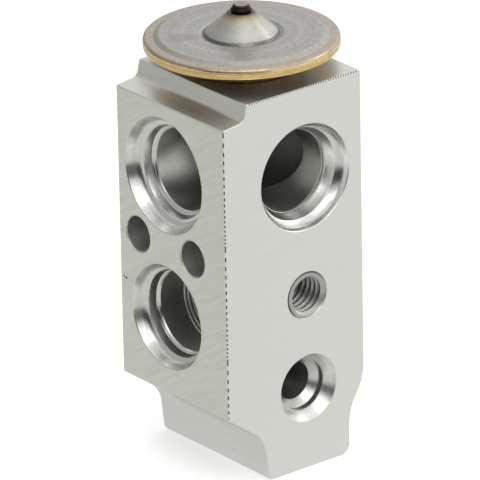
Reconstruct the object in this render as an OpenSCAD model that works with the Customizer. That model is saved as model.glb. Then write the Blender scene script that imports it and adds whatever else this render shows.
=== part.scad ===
// Block-type thermal expansion valve of a vehicle air conditioner.
// Origin: on the valve axis, in the base plane. +Z up, hose side towards -Y,
// evaporator side towards -X. Millimetres.

/* [Block] */
// Width of the hose face, along X
block_w = 31; // [30:0.5:34]
// Length of the extruded block, along Y
block_d = 30; // [29:0.5:34]
// Height of the top plane above the base
block_h = 72.6; // [71.5:0.1:76]
// Valve axis behind the hose face
axis_from_front = 17.15; // [16.5:0.05:18]
// Valve axis inside the evaporator face
axis_from_left = 18.2; // [17.5:0.1:19]
// Upper edge of the evaporator face below the top plane
shoulder_drop = 3.6; // [3:0.1:4.4]
// Set-back of the top plane from the evaporator face
shoulder_w = 5.26; // [4.5:0.02:5.6]
// Rise of the shoulder's floor, in degrees
shoulder_rise = 7.5; // [4:0.5:12]
// Lean of the shoulder's wall, in degrees
shoulder_lean = 14; // [8:1:18]
// Radius in the corner of the shoulder
shoulder_r = 1.2; // [0.8:0.1:1.5]
// Lower edge of the evaporator face above the base
undercut_h = 14.1; // [13:0.1:15]
// Fall of the sloped underside, in degrees
undercut_fall = 36; // [30:1:40]
// Radius between the sloped underside and the foot
undercut_r = 5; // [3:0.5:6]
// Half width of the foot on the evaporator side, at the base
foot_left = 9.26; // [8.8:0.02:9.6]
// Draft of the foot's evaporator side, in degrees
foot_draft = 6.6; // [4:0.2:8]
// Half width of the foot on the far side
foot_right = 9.3; // [8.8:0.1:9.8]
// Upper corner of the far flank above the base
flank_h = 13.82; // [13:0.02:15]
// Angle of the far flank from upright, in degrees
flank_angle = 32; // [28:1:36]
// Radius of both bends of the far flank
flank_r = 8.6; // [6:0.2:9]
// Radius of the foot's corner on the evaporator side
foot_left_r = 1; // [0.6:0.1:1.6]
// Radius of the foot's corner on the far side
foot_right_r = 1.9; // [1:0.1:2.2]

/* [Fixing] */
// Height of the two bolt holes above the base
bolt_h = 42.1; // [41.8:0.1:42.6]
// Spacing of the two bolt holes
bolt_spacing = 15.4; // [15.2:0.1:16]
// Radius of a bolt hole
bolt_r = 3.3; // [3.1:0.05:3.4]
// Chamfer at both ends of a bolt hole
bolt_chamfer = 0.25; // [0.1:0.05:0.4]
// Height of the hose stud's threaded hole above the base
stud_h = 33.2; // [33:0.1:33.4]
// Radius of the hose stud's threaded hole
stud_r = 4; // [3.5:0.1:4.2]
// Depth of the threaded hole
stud_depth = 10.2; // [8:0.1:10.4]
// Chamfer at the mouth of the threaded hole
stud_chamfer = 0.48; // [0.2:0.02:0.8]
// Point angle of the drills, in degrees
drill_point = 118; // [110:2:130]

/* [Suction passage] */
// Centre of both suction ports below the top plane
suction_drop = 17; // [16.7:0.1:17.4]
// Radius of the suction bore
suction_r = 7.5; // [7:0.1:7.7]
// Radius of the suction passage behind both suction bores
suction_way_r = 7.3; // [6.9:0.1:7.4]
// End of both suction bores before the valve axis
suction_bore_end = 7.6; // [7.5:0.1:8.5]
// Reach of the suction passage past the valve axis
suction_end = 8.6; // [8:0.1:9.4]
// Mouth radius of the port on the evaporator face
inlet_mouth_r = 10.82; // [10.7:0.02:11]
// Radius at the foot of that port's outer wall
inlet_wall_r = 10.5; // [10.3:0.05:10.65]
// Depth of that port's outer wall
inlet_wall_d = 2.4; // [2:0.1:2.6]
// Width of the cove at the foot of that wall
inlet_cove_w = 0.9; // [0.6:0.05:1.2]
// Depth of that cove
inlet_cove_h = 1.05; // [0.8:0.05:1.2]
// Radius of that port's seat lip
inlet_lip_r = 8.4; // [8.2:0.05:8.8]
// Depth of that port's seat lip
inlet_lip_d = 4.02; // [3.9:0.02:4.4]
// Mouth radius of the port on the hose face
hose_mouth_r = 9.98; // [9.8:0.02:10.4]
// Radius at the foot of that port's outer wall
hose_wall_r = 9.7; // [9.5:0.05:9.8]
// Depth of that port's outer wall
hose_wall_d = 1.4; // [1.2:0.1:1.8]
// Width of the cove at the foot of that wall
hose_cove_w = 0.7; // [0.5:0.05:1]
// Depth of that cove
hose_cove_h = 1.3; // [1.1:0.05:1.5]
// Radius of that port's seat lip
hose_lip_r = 8.2; // [8.1:0.05:8.5]
// Depth of that port's seat lip
hose_lip_d = 4; // [3.8:0.1:4.4]
// Depth from a seat lip to the start of its bore
lip_drop = 0.6; // [0.4:0.05:0.7]

/* [Liquid passages] */
// Height of the liquid inlet above the base
liquid_h = 15.35; // [15.1:0.05:15.5]
// Mouth radius of the liquid inlet
liquid_mouth_r = 6.25; // [6:0.05:6.5]
// Radius of the liquid inlet's counterbore
liquid_wall_r = 4.75; // [4.5:0.05:5]
// Depth of the liquid inlet's countersink
liquid_cone_d = 1.75; // [1.4:0.05:2]
// Depth of the liquid inlet's counterbore
liquid_wall_d = 3; // [2.6:0.1:3.2]
// Depth at which the liquid bore starts
liquid_bore_d = 4.4; // [4:0.1:4.8]
// Radius of the liquid bore
liquid_r = 3.55; // [3.3:0.05:3.7]
// End of the liquid bore before the valve axis
liquid_bore_end = 5.6; // [5.5:0.1:7]
// Radius of the drilling from the liquid bore to the valve chamber
liquid_way_r = 3.35; // [3:0.05:3.4]
// Height of the outlet to the evaporator above the base
outlet_h = 28.6; // [28.5:0.1:29]
// Mouth radius of the outlet
outlet_mouth_r = 9.82; // [9.6:0.02:10]
// Radius at the foot of the outlet's outer wall
outlet_wall_r = 9.6; // [9.4:0.05:9.7]
// Depth of the outlet's outer wall
outlet_wall_d = 2.2; // [1.9:0.1:2.4]
// Width of the cove at the foot of that wall
outlet_cove_w = 0.6; // [0.4:0.05:0.8]
// Depth of that cove
outlet_cove_h = 1; // [0.8:0.05:1.2]
// Radius of the outlet's seat lip
outlet_lip_r = 8.3; // [8.1:0.05:8.5]
// Depth of the outlet's seat lip
outlet_lip_d = 3.95; // [3.8:0.05:4.3]
// Radius of the outlet bore
outlet_r = 7.35; // [7:0.05:7.6]
// Depth of the outlet bore
outlet_d = 9.7; // [9:0.1:10]
// Radius of the passage behind the outlet bore
passage_r = 6.1; // [5.5:0.1:6.3]
// Length of that passage behind the outlet bore
passage_l = 3.6; // [3:0.1:4.2]
// Radius of the metering chamber's side drilling
chamber_r = 4.6; // [4:0.1:4.8]
// Radius of the upright drilling above the seat
riser_r = 3.4; // [3:0.1:3.6]
// Top of that drilling above the base
riser_top = 35.2; // [34.8:0.1:36]

/* [Valve] */
// Radius of the ball
ball_r = 3; // [2.8:0.05:3.1]
// Radius of the seat opening
seat_r = 2.3; // [2.1:0.05:2.4]
// Height of the seat's edge above the base
seat_h = 21.6; // [21.4:0.1:21.8]
// Radius of the chamber under the seat
valve_chamber_r = 5.1; // [5:0.05:5.4]
// Opening travel of the ball
stroke = 0.8; // [0.4:0.1:1]
// Radius of the push rod
rod_r = 1.4; // [1.2:0.05:1.5]
// Radial clearance of the rod in its guide
rod_gap = 0.05; // [0.03:0.01:0.08]
// Radius of the counterbore for the rod seal
gland_r = 3.2; // [3:0.05:3.3]
// Floor of that counterbore below the suction ports' centre
gland_drop = 10.2; // [10:0.1:10.4]
// Thickness of the seal's retainer
retainer_t = 0.4; // [0.3:0.05:0.5]
// Radius of the sensing shaft
shaft_r = 2.6; // [2.3:0.1:3]
// Lower end of the sensing shaft above that floor
shaft_rise = 4.5; // [4.2:0.1:5]
// Depth to which the push rod enters the sensing shaft
shaft_socket = 4; // [3:0.5:6]
// Radius of the ball carrier
carrier_r = 4; // [3.8:0.05:4.1]
// Height of the ball carrier's plate
carrier_t = 2.3; // [2:0.1:2.5]
// Radius of the ball carrier's stem
stem_r = 1.8; // [1.5:0.1:1.9]
// Length of the ball carrier's stem
stem_l = 2.6; // [2:0.1:3]
// Thickness of the damping spring
damper_t = 0.28; // [0.2:0.02:0.34]
// Height of the damping spring's band
damper_h = 1.3; // [1:0.1:1.4]
// Width of a damping spring finger
finger_w = 2; // [1.5:0.1:2.4]

/* [Head] */
// Radius of the head's rim
rim_r = 17.45; // [17:0.05:18]
// Plane in which the diaphragm is clamped, above the top plane
clamp_rise = 4; // [3.8:0.05:4.2]
// Thickness of the head's two stampings
sheet_t = 0.88; // [0.8:0.02:0.95]
// Radius of the rim's rounded edge
rim_edge_r = 0.72; // [0.5:0.02:0.78]
// Thickness of the diaphragm
diaphragm_t = 0.12; // [0.1:0.01:0.15]
// Radius of the raised middle of the lid
lid_plate_r = 14.9; // [14:0.1:15.2]
// Height of the lid's raised middle over its flange
lid_step = 0.5; // [0.3:0.05:0.7]
// Radius of the cone at its foot
cone_r = 6.42; // [6:0.02:7]
// Radius of the cone at its top
cone_top_r = 2.3; // [2.1:0.05:2.5]
// Height of the cone over the lid
cone_h = 3.95; // [3.5:0.05:4.4]
// Radius of the charge plug's head
plug_r = 1.68; // [1.5:0.02:1.8]
// Height of the charge plug's head
plug_h = 1.45; // [1.2:0.05:1.7]
// Radius of the charge hole
charge_r = 1; // [0.8:0.05:1.2]
// Radius of the head's neck, where it stands on the block
neck_r = 11.2; // [11:0.1:11.6]
// Height of the neck over the block
neck_h = 1.3; // [1.1:0.05:1.5]
// Radius of the head's threaded boss
boss_r = 9; // [8.8:0.1:9.2]
// Length of the threaded boss below the top plane
boss_l = 6.5; // [6:0.1:6.8]
// Radius of the bore through the boss
boss_bore_r = 6.6; // [6:0.1:7]
// Radius of the groove for the head's seal ring
gasket_groove_r = 10.6; // [10.4:0.05:10.8]
// Radius of the thrust plate under the diaphragm
thrust_r = 9.4; // [9:0.1:9.6]
// Thickness of the thrust plate
thrust_t = 0.9; // [0.8:0.05:1]
// Radius of the thrust plate's hub
hub_r = 3.7; // [3.5:0.1:4]
// Height of the thrust plate's hub
hub_h = 2; // [1.5:0.1:2.4]

/* [Adjuster] */
// Radius of the adjusting screw's thread
screw_r = 6; // [5.9:0.05:6.1]
// Pitch of the adjusting screw's thread
screw_pitch = 1; // [0.75:0.25:1]
// Turn of the adjusting screw each way, in degrees
screw_turn = 270; // [180:30:270]
// Length of the threaded part
screw_thread_l = 3.8; // [3.4:0.1:4]
// Length of the plain part above the thread
screw_plain_l = 4.4; // [4.2:0.1:4.6]
// Radius of the plain part
screw_plain_r = 5; // [4.9:0.02:5.04]
// Radius of the bottom of the seal groove
screw_groove_r = 3.6; // [3.4:0.05:3.7]
// Width of the seal groove
screw_groove_w = 1.7; // [1.6:0.05:1.8]
// Width across the flats of the hexagon socket
hex_flats = 5; // [4:0.5:5]
// Depth of the hexagon socket
hex_depth = 3.2; // [2.5:0.1:3.4]
// Fitted length of the bias spring
spring_l = 6.2; // [5.8:0.1:6.4]
// Radius of the wire of the bias spring
wire_r = 0.4; // [0.35:0.01:0.45]
// Mean radius of the bias spring
coil_r = 2.9; // [2.8:0.05:3]
// Number of turns of the bias spring
coil_turns = 4.5; // [3.5:0.5:5]

/* [Hidden] */

// Overshoot of a cut past the surface that it opens
over = 1;
// Clearance between pieces that touch
touch = 0.02;
// Radial clearance of a simplified thread
thread_gap = 0.05;
round_fn = 96;
small_fn = 48;

left_x = -axis_from_left;
right_x = left_x + block_w;
front_y = -axis_from_front;
back_y = front_y + block_d;

// Heights that hang from the top plane
shoulder_h = block_h - shoulder_drop;
suction_h = block_h - suction_drop;
gland_h = suction_h - gland_drop;
shaft_low = gland_h + shaft_rise;

// The ball rests on the seat's edge, and its carrier's pocket holds it from below
ball_z = seat_h - sqrt(pow(ball_r, 2) - pow(seat_r, 2)) - touch;
pocket_angle = 45;
pocket_r = ball_r * cos(pocket_angle);
pocket_z = ball_z - ball_r * sin(pocket_angle) - touch;
carrier_top = pocket_z + 0.4;
carrier_low = carrier_top - carrier_t;
rod_low = ball_z + ball_r + touch;
rod_high = shaft_low + shaft_socket - touch;
chamber_top = seat_h - (valve_chamber_r - seat_r) * tan(90 - drill_point / 2);
damper_low = chamber_top - damper_h - damper_t;
damper_r = valve_chamber_r - touch;

// The adjusting screw carries the spring under the ball carrier
screw_travel = screw_pitch * screw_turn / 360;
screw_top = carrier_low - spring_l;
thread_top = screw_top - screw_plain_l;
screw_low = thread_top - screw_thread_l;
plain_bore_h = thread_top + screw_travel + 0.15;
groove_low = screw_top - screw_groove_w - 0.6;
post_r = coil_r - wire_r - 0.3;
post_h = 3 * wire_r;

// The head is built up from the plane in which its diaphragm is clamped
clamp_z = block_h + clamp_rise;
flange_top = clamp_z + diaphragm_t / 2 + sheet_t;
flange_low = clamp_z - diaphragm_t / 2 - sheet_t;
plate_top = flange_top + lid_step;
cone_top = plate_top + cone_h;
neck_top = block_h + neck_h;
boss_low = block_h - boss_l;
socket_low = boss_low - 0.3;
gasket_r = (gasket_groove_r - boss_r) / 2 - touch;
gasket_groove_h = 2 * gasket_r + 0.06;
thrust_top = clamp_z - diaphragm_t / 2 - touch;
shaft_high = thrust_top - (thrust_t + hub_h) / 2;

function unit(v) = v / norm(v);

// Points of the round that replaces the corner at b, between the corners a and c
function corner_round(a, b, c, r, steps = 10) =
    let (u = unit(a - b),
         w = unit(c - b),
         half = acos(u * w) / 2,
         centre = b + unit(u + w) * r / sin(half),
         start = b + u * r / tan(half) - centre,
         finish = b + w * r / tan(half) - centre,
         from = atan2(start.y, start.x),
         turn = atan2(finish.y, finish.x) - from,
         sweep = turn > 180 ? turn - 360 : turn < -180 ? turn + 360 : turn)
    [for (i = [0:steps]) centre + r * [cos(from + sweep * i / steps), sin(from + sweep * i / steps)]];

// An outline from corners given as [x, y, radius]; a radius of 0 keeps the corner sharp
function rounded_outline(corners) =
    let (n = len(corners))
    [for (i = [0:n - 1])
        let (a = corners[(i + n - 1) % n], b = corners[i], c = corners[(i + 1) % n])
        each b[2] > 0
            ? corner_round([a.x, a.y], [b.x, b.y], [c.x, c.y], b[2])
            : [[b.x, b.y]]];

// Radius of the arc that leaves a wall at the wall's own direction and ends so far in and so deep
function cove_radius(inward, deeper) = (pow(inward, 2) + pow(deeper, 2)) / (2 * inward);

// Points of that arc, as [radius, depth]
function cove(wall_r, wall_d, cove_w, cove_h, steps = 12) =
    let (r = cove_radius(cove_w, cove_h),
         sweep = asin(cove_h / r))
    [for (i = [0:steps]) [wall_r - r + r * cos(sweep * i / steps), wall_d + r * sin(sweep * i / steps)]];

// Places a cutter that runs along +Z so that it enters the hose face
module into_front(h) {
    translate([0, front_y, h]) rotate([-90, 0, 0]) children();
}

// Places a cutter that runs along +Z so that it enters the evaporator face
module into_left(h, y = 0) {
    translate([left_x, y, h]) rotate([0, 90, 0]) children();
}

// A hose port: outer wall, cove, cone to the seat lip, bevel, then the bore down to depth
module port_cut(mouth_r, wall_r, wall_d, cove_w, cove_h, lip_r, lip_d, bore_r, depth) {
    rotate_extrude($fn = round_fn)
        polygon(concat(
            [[0, -over], [mouth_r, -over], [mouth_r, 0]],
            cove(wall_r, wall_d, cove_w, cove_h),
            [[lip_r, lip_d], [bore_r, lip_d + lip_drop], [bore_r, depth], [0, depth]]));
}

// A drilled hole with a chamfered mouth and a drill point
module drilled_cut(r, depth, chamfer) {
    point = r / tan(drill_point / 2);
    rotate_extrude($fn = small_fn)
        polygon([[0, -over], [r + chamfer, -over], [r + chamfer, 0], [r, chamfer],
                 [r, depth], [0, depth + point]]);
}

// A body of revolution about the valve axis
module turned(points, fn = round_fn) {
    rotate_extrude($fn = fn) polygon(points);
}

// A seal ring of round section about the valve axis
module seal_ring(mean_r, section_r, h) {
    translate([0, 0, h])
        rotate_extrude($fn = round_fn)
            translate([mean_r, 0])
                circle(r = section_r, $fn = 24);
}

function block_outline() =
    let (shoulder_x = left_x + shoulder_w,
         rise = tan(shoulder_rise),
         lean = tan(shoulder_lean),
         step_z = (shoulder_h + rise * (shoulder_w - lean * block_h)) / (1 - rise * lean),
         fall = tan(undercut_fall),
         draft = tan(foot_draft),
         knee_z = (undercut_h - fall * (axis_from_left - foot_left)) / (1 - fall * draft))
    rounded_outline([
        [left_x, shoulder_h, 0.2],
        [left_x, undercut_h, 0.2],
        [-foot_left - draft * knee_z, knee_z, undercut_r],
        [-foot_left, 0, foot_left_r],
        [foot_right, 0, foot_right_r],
        [foot_right, flank_h - (right_x - foot_right) / tan(flank_angle), flank_r],
        [right_x, flank_h, flank_r],
        [right_x, block_h, 0.2],
        [shoulder_x, block_h, 0.2],
        [shoulder_x - lean * (block_h - step_z), step_z, shoulder_r]]);

module suction_cuts() {
    into_left(suction_h)
        port_cut(inlet_mouth_r, inlet_wall_r, inlet_wall_d, inlet_cove_w, inlet_cove_h,
                 inlet_lip_r, inlet_lip_d, suction_r, axis_from_left - suction_bore_end);
    into_front(suction_h)
        port_cut(hose_mouth_r, hose_wall_r, hose_wall_d, hose_cove_w, hose_cove_h,
                 hose_lip_r, hose_lip_d, suction_r, axis_from_front - suction_bore_end);
    into_left(suction_h)
        cylinder(r = suction_way_r, h = axis_from_left + suction_end, $fn = round_fn);
    into_front(suction_h)
        cylinder(r = suction_way_r, h = axis_from_front, $fn = round_fn);
}

module outlet_cuts() {
    into_left(outlet_h)
        port_cut(outlet_mouth_r, outlet_wall_r, outlet_wall_d, outlet_cove_w, outlet_cove_h,
                 outlet_lip_r, outlet_lip_d, outlet_r, outlet_d);
    into_left(outlet_h)
        rotate_extrude($fn = round_fn)
            polygon([[0, outlet_d - over], [outlet_r, outlet_d - over], [outlet_r, outlet_d],
                     [passage_r, outlet_d + (outlet_r - passage_r) * 0.6],
                     [passage_r, outlet_d + passage_l], [0, outlet_d + passage_l]]);
    into_left(outlet_h)
        cylinder(r = chamber_r, h = axis_from_left + riser_r, $fn = small_fn);
    translate([0, 0, seat_h - over])
        cylinder(r = seat_r, h = outlet_h - seat_h + over, $fn = small_fn);
    translate([0, 0, outlet_h])
        cylinder(r = riser_r, h = riser_top - outlet_h, $fn = small_fn);
}

module liquid_cuts() {
    into_front(liquid_h)
        rotate_extrude($fn = round_fn)
            polygon([[0, -over], [liquid_mouth_r, -over], [liquid_mouth_r, 0],
                     [liquid_wall_r + 0.1, liquid_cone_d - 0.1], [liquid_wall_r, liquid_cone_d + 0.1],
                     [liquid_wall_r, liquid_wall_d], [liquid_r, liquid_bore_d],
                     [liquid_r, axis_from_front - liquid_bore_end],
                     [liquid_way_r, axis_from_front - liquid_bore_end + 0.2],
                     [liquid_way_r, axis_from_front - valve_chamber_r / 2],
                     [0, axis_from_front - valve_chamber_r / 2]]);
}

// The upright drillings: adjuster thread, valve chamber, seat, rod guide, seal gland and head socket
module axis_cuts() {
    screw_bore_r = screw_r + thread_gap;
    turned([[0, -over], [screw_bore_r + 0.6, -over], [screw_bore_r + 0.6, 0], [screw_bore_r, 0.6],
            [screw_bore_r, plain_bore_h], [valve_chamber_r, plain_bore_h + 0.4],
            [valve_chamber_r, chamber_top], [seat_r, seat_h], [0, seat_h]]);
    translate([0, 0, riser_top - over])
        cylinder(r = rod_r + rod_gap, h = gland_h - riser_top + 2 * over, $fn = small_fn);
    translate([0, 0, gland_h])
        cylinder(r = gland_r, h = suction_h - gland_h, $fn = small_fn);
    translate([0, 0, suction_h])
        cylinder(r = boss_bore_r, h = socket_low - suction_h + over, $fn = round_fn);
    turned([[0, socket_low], [boss_r + thread_gap, socket_low], [boss_r + thread_gap, block_h - over],
            [gasket_groove_r, block_h - over], [gasket_groove_r, block_h + over], [0, block_h + over]]);
    translate([0, 0, block_h - gasket_groove_h])
        cylinder(r = gasket_groove_r, h = gasket_groove_h + over, $fn = round_fn);
}

module bolt_cuts() {
    for (side = [-1, 1])
        into_left(bolt_h, side * bolt_spacing / 2)
            turned([[0, -over], [bolt_r + bolt_chamfer, -over], [bolt_r + bolt_chamfer, 0],
                    [bolt_r, bolt_chamfer], [bolt_r, block_w - bolt_chamfer],
                    [bolt_r + bolt_chamfer, block_w], [bolt_r + bolt_chamfer, block_w + over],
                    [0, block_w + over]], small_fn);
}

module valve_body() {
    color("#cfd0c8") difference() {
        translate([0, back_y, 0]) rotate([90, 0, 0])
            linear_extrude(block_d) polygon(block_outline());
        suction_cuts();
        outlet_cuts();
        liquid_cuts();
        axis_cuts();
        bolt_cuts();
        into_front(stud_h) drilled_cut(stud_r, stud_depth, stud_chamfer);
    }
}

// Upper stamping of the head: flange, raised plate and cone round the charge hole
module head_lid() {
    low = clamp_z + diaphragm_t / 2;
    in_r = lid_plate_r - 0.9;
    edge = rim_r - rim_edge_r;
    color("#b9b9b2") turned(concat(
        [[in_r, low], [rim_r, low], [rim_r, flange_top - rim_edge_r]],
        [for (a = [10:10:90]) [edge + rim_edge_r * cos(a), flange_top - rim_edge_r + rim_edge_r * sin(a)]],
        [[lid_plate_r + 0.45, flange_top], [lid_plate_r, plate_top], [cone_r + 1.05, plate_top],
         [cone_r + 0.75, plate_top - 0.12], [cone_r + 0.1, plate_top - 0.12], [cone_r, plate_top + 0.12],
         [cone_top_r, cone_top], [charge_r, cone_top], [charge_r, cone_top - sheet_t],
         [cone_top_r - 0.9, cone_top - sheet_t], [cone_r - 0.9, plate_top - sheet_t + 0.12],
         [cone_r - 0.9, plate_top - sheet_t], [in_r, plate_top - sheet_t]]));
}

// Lower part of the head: flange, dish, neck and threaded boss
module head_receiver() {
    top = clamp_z - diaphragm_t / 2;
    edge = rim_r - rim_edge_r;
    low = block_h + touch;
    dish = flange_low - neck_top;
    inner = neck_r - 1;
    floor_z = neck_top - sheet_t / 4;
    color("#a8842f") turned(concat(
        [[boss_bore_r, boss_low], [boss_r - 0.5, boss_low], [boss_r, boss_low + 0.5], [boss_r, low],
         [neck_r, low], [neck_r, neck_top], [neck_r + 1.25 * dish, flange_low], [edge, flange_low]],
        [for (a = [-80:10:0]) [edge + rim_edge_r * cos(a), flange_low + rim_edge_r + rim_edge_r * sin(a)]],
        [[rim_r, top], [inner + 1.25 * (top - neck_top), top], [inner, neck_top],
         [inner, floor_z], [boss_bore_r, floor_z]]));
}

module charge_plug() {
    round_r = 0.45;
    top = cone_top + touch + plug_h;
    color("#3a2e26") turned(concat(
        [[0, cone_top - sheet_t], [charge_r - touch, cone_top - sheet_t], [charge_r - touch, cone_top + touch],
         [plug_r, cone_top + touch]],
        [for (a = [0:15:90]) [plug_r - round_r + round_r * cos(a), top - round_r + round_r * sin(a)]],
        [[0, top]]), small_fn);
}

// Clamped at its edge; the waves lie between the thrust plate and the receiver's dish
module diaphragm() {
    wave_in = thrust_r + 0.3;
    wave_out = lid_plate_r - 2 * sheet_t;
    wave_h = 0.12;
    waves = 2;
    steps = 24;
    profile = [for (i = [0:steps])
        [wave_in + (wave_out - wave_in) * i / steps, wave_h * sin(360 * waves * i / steps)]];
    edge = rim_r - 0.6;
    half = diaphragm_t / 2 - 0.005;
    color("#c9c4b4") translate([0, 0, clamp_z]) turned(concat(
        [[0, -half]],
        [for (p = profile) [p.x, p.y - half]],
        [[edge, -half], [edge, half]],
        [for (i = [steps:-1:0]) [profile[i].x, profile[i].y + half]],
        [[0, half]]));
}

module thrust_plate() {
    low = thrust_top - thrust_t;
    color("#b7b7ae") difference() {
        turned([[0, low - hub_h], [hub_r, low - hub_h], [hub_r, low - 0.3], [hub_r + 0.3, low],
                [thrust_r - 0.3, low], [thrust_r, low + 0.3], [thrust_r, thrust_top - 0.3],
                [thrust_r - 0.3, thrust_top], [0, thrust_top]]);
        translate([0, 0, low - hub_h - over])
            cylinder(r = shaft_r + touch, h = shaft_high + touch - low + hub_h + over, $fn = small_fn);
    }
}

module head_gasket() {
    color("#1f3a2a") seal_ring((gasket_groove_r + boss_r) / 2, gasket_r,
                               block_h - gasket_groove_h + gasket_r + touch);
}

module sensing_shaft() {
    color("#c4c5bf") turned([[0, shaft_low + shaft_socket], [rod_r + touch, shaft_low + shaft_socket],
                             [rod_r + touch, shaft_low], [shaft_r - 0.4, shaft_low],
                             [shaft_r, shaft_low + 0.4], [shaft_r, shaft_high - 0.3],
                             [shaft_r - 0.3, shaft_high], [0, shaft_high]], small_fn);
}

module push_rod() {
    color("#9a9c9e") turned([[0, rod_low], [rod_r - 0.3, rod_low], [rod_r, rod_low + 0.3],
                             [rod_r, rod_high - 0.2], [rod_r - 0.2, rod_high], [0, rod_high]], small_fn);
}

module rod_seal() {
    section = (gland_r - rod_r) / 2 - touch;
    color("#222222") seal_ring((gland_r + rod_r) / 2, section, gland_h + section + touch);
}

// A push-on washer with radial slits that bite in the gland's wall
module seal_retainer() {
    section = (gland_r - rod_r) / 2 - touch;
    low = gland_h + 2 * (section + touch);
    slits = 6;
    color("#8d8f90") difference() {
        translate([0, 0, low])
            cylinder(r = gland_r - touch, h = retainer_t, $fn = small_fn);
        translate([0, 0, low - over])
            cylinder(r = rod_r + rod_gap + 0.1, h = retainer_t + 2 * over, $fn = small_fn);
        for (i = [0:slits - 1])
            rotate([0, 0, 360 * i / slits])
                translate([gland_r - 0.7, -0.2, low - over])
                    cube([over, 0.4, retainer_t + 2 * over]);
    }
}

module valve_ball() {
    color("#b4b6b8") translate([0, 0, ball_z]) sphere(r = ball_r, $fn = 64);
}

module ball_carrier() {
    pocket_low = carrier_low + 0.5;
    color("#a9a59a") turned([[0, carrier_low - stem_l], [stem_r - 0.3, carrier_low - stem_l],
                             [stem_r, carrier_low - stem_l + 0.3], [stem_r, carrier_low],
                             [carrier_r - 0.2, carrier_low], [carrier_r, carrier_low + 0.2],
                             [carrier_r, carrier_top - 0.2], [carrier_r - 0.2, carrier_top],
                             [pocket_r + carrier_top - pocket_z, carrier_top],
                             [pocket_r - pocket_z + pocket_low, pocket_low], [0, pocket_low]], small_fn);
}

// A sprung band in the valve chamber whose three fingers keep the ball carrier from chattering
module damping_spring() {
    fingers = 3;
    tip_r = carrier_r + touch;
    tip_z = carrier_top - carrier_t / 2;
    foot_z = damper_low + 0.2;
    foot_r = damper_r - 1.6 * damper_t;
    tilt = atan2(foot_r - tip_r, foot_z - tip_z);
    length = norm([foot_r - tip_r, foot_z - tip_z]);
    color("#9c9d9b") union() {
        translate([0, 0, damper_low]) difference() {
            cylinder(r = damper_r, h = damper_h, $fn = small_fn);
            translate([0, 0, -over])
                cylinder(r = damper_r - damper_t, h = damper_h + 2 * over, $fn = small_fn);
        }
        for (i = [0:fingers - 1])
            rotate([0, 0, 90 + 360 * i / fingers])
                translate([tip_r, -finger_w / 2, tip_z])
                    rotate([0, tilt, 0])
                        cube([damper_t, finger_w, length + 0.2]);
    }
}

// A helical coil swept as a tube, between the adjusting screw and the ball carrier
module bias_spring() {
    low = screw_top + wire_r + touch;
    rise = carrier_low - screw_top - 2 * (wire_r + touch);
    sides = 8;
    rings = round(coil_turns * 20);
    rise_angle = atan2(rise, 2 * PI * coil_r * coil_turns);
    points = [for (i = [0:rings])
        let (turn = 360 * coil_turns * i / rings,
             outward = [cos(turn), sin(turn), 0],
             upward = [sin(turn) * sin(rise_angle), -cos(turn) * sin(rise_angle), cos(rise_angle)],
             centre = coil_r * outward + [0, 0, low + rise * i / rings])
        for (j = [0:sides - 1])
            centre + wire_r * (cos(360 * j / sides) * outward + sin(360 * j / sides) * upward)];
    skin = [for (i = [0:rings - 1], j = [0:sides - 1])
        let (k = (j + 1) % sides)
        [i * sides + j, i * sides + k, (i + 1) * sides + k, (i + 1) * sides + j]];
    ends = [[for (j = [sides - 1:-1:0]) j], [for (j = [0:sides - 1]) rings * sides + j]];
    color("#7d8083") polyhedron(points, concat(skin, ends));
}

module adjusting_screw() {
    color("#b79a57") difference() {
        turned([[0, screw_low], [screw_r - 0.5, screw_low], [screw_r, screw_low + 0.5],
                [screw_r, thread_top - 0.4], [screw_r - 0.4, thread_top], [screw_plain_r, thread_top],
                [screw_plain_r, groove_low], [screw_groove_r, groove_low],
                [screw_groove_r, groove_low + screw_groove_w], [screw_plain_r, groove_low + screw_groove_w],
                [screw_plain_r, screw_top - 0.3], [screw_plain_r - 0.3, screw_top],
                [post_r, screw_top], [post_r, screw_top + post_h - 0.3],
                [post_r - 0.3, screw_top + post_h], [0, screw_top + post_h]]);
        translate([0, 0, screw_low - over])
            cylinder(r = hex_flats / sqrt(3), h = hex_depth + over, $fn = 6);
    }
}

module adjuster_seal() {
    section = (valve_chamber_r - screw_groove_r) / 2 - touch;
    color("#1f3a2a") seal_ring((valve_chamber_r + screw_groove_r) / 2, section,
                               groove_low + screw_groove_w / 2);
}

valve_body();
head_lid();
head_receiver();
charge_plug();
diaphragm();
thrust_plate();
head_gasket();
sensing_shaft();
push_rod();
rod_seal();
seal_retainer();
valve_ball();
ball_carrier();
damping_spring();
bias_spring();
adjusting_screw();
adjuster_seal();
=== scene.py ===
"""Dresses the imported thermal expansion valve: machined block, power head, inner parts, light and camera.

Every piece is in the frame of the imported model: the valve's axis is Z, the hose face looks towards -Y and
the evaporator face towards -X. Sizes are written in millimetres and become metres where a mesh is made.
"""

import logging
import math
from dataclasses import dataclass, field
from enum import Enum
from typing import Any, Sequence

import bmesh
import bpy
from mathutils import Matrix, Vector, noise

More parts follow.
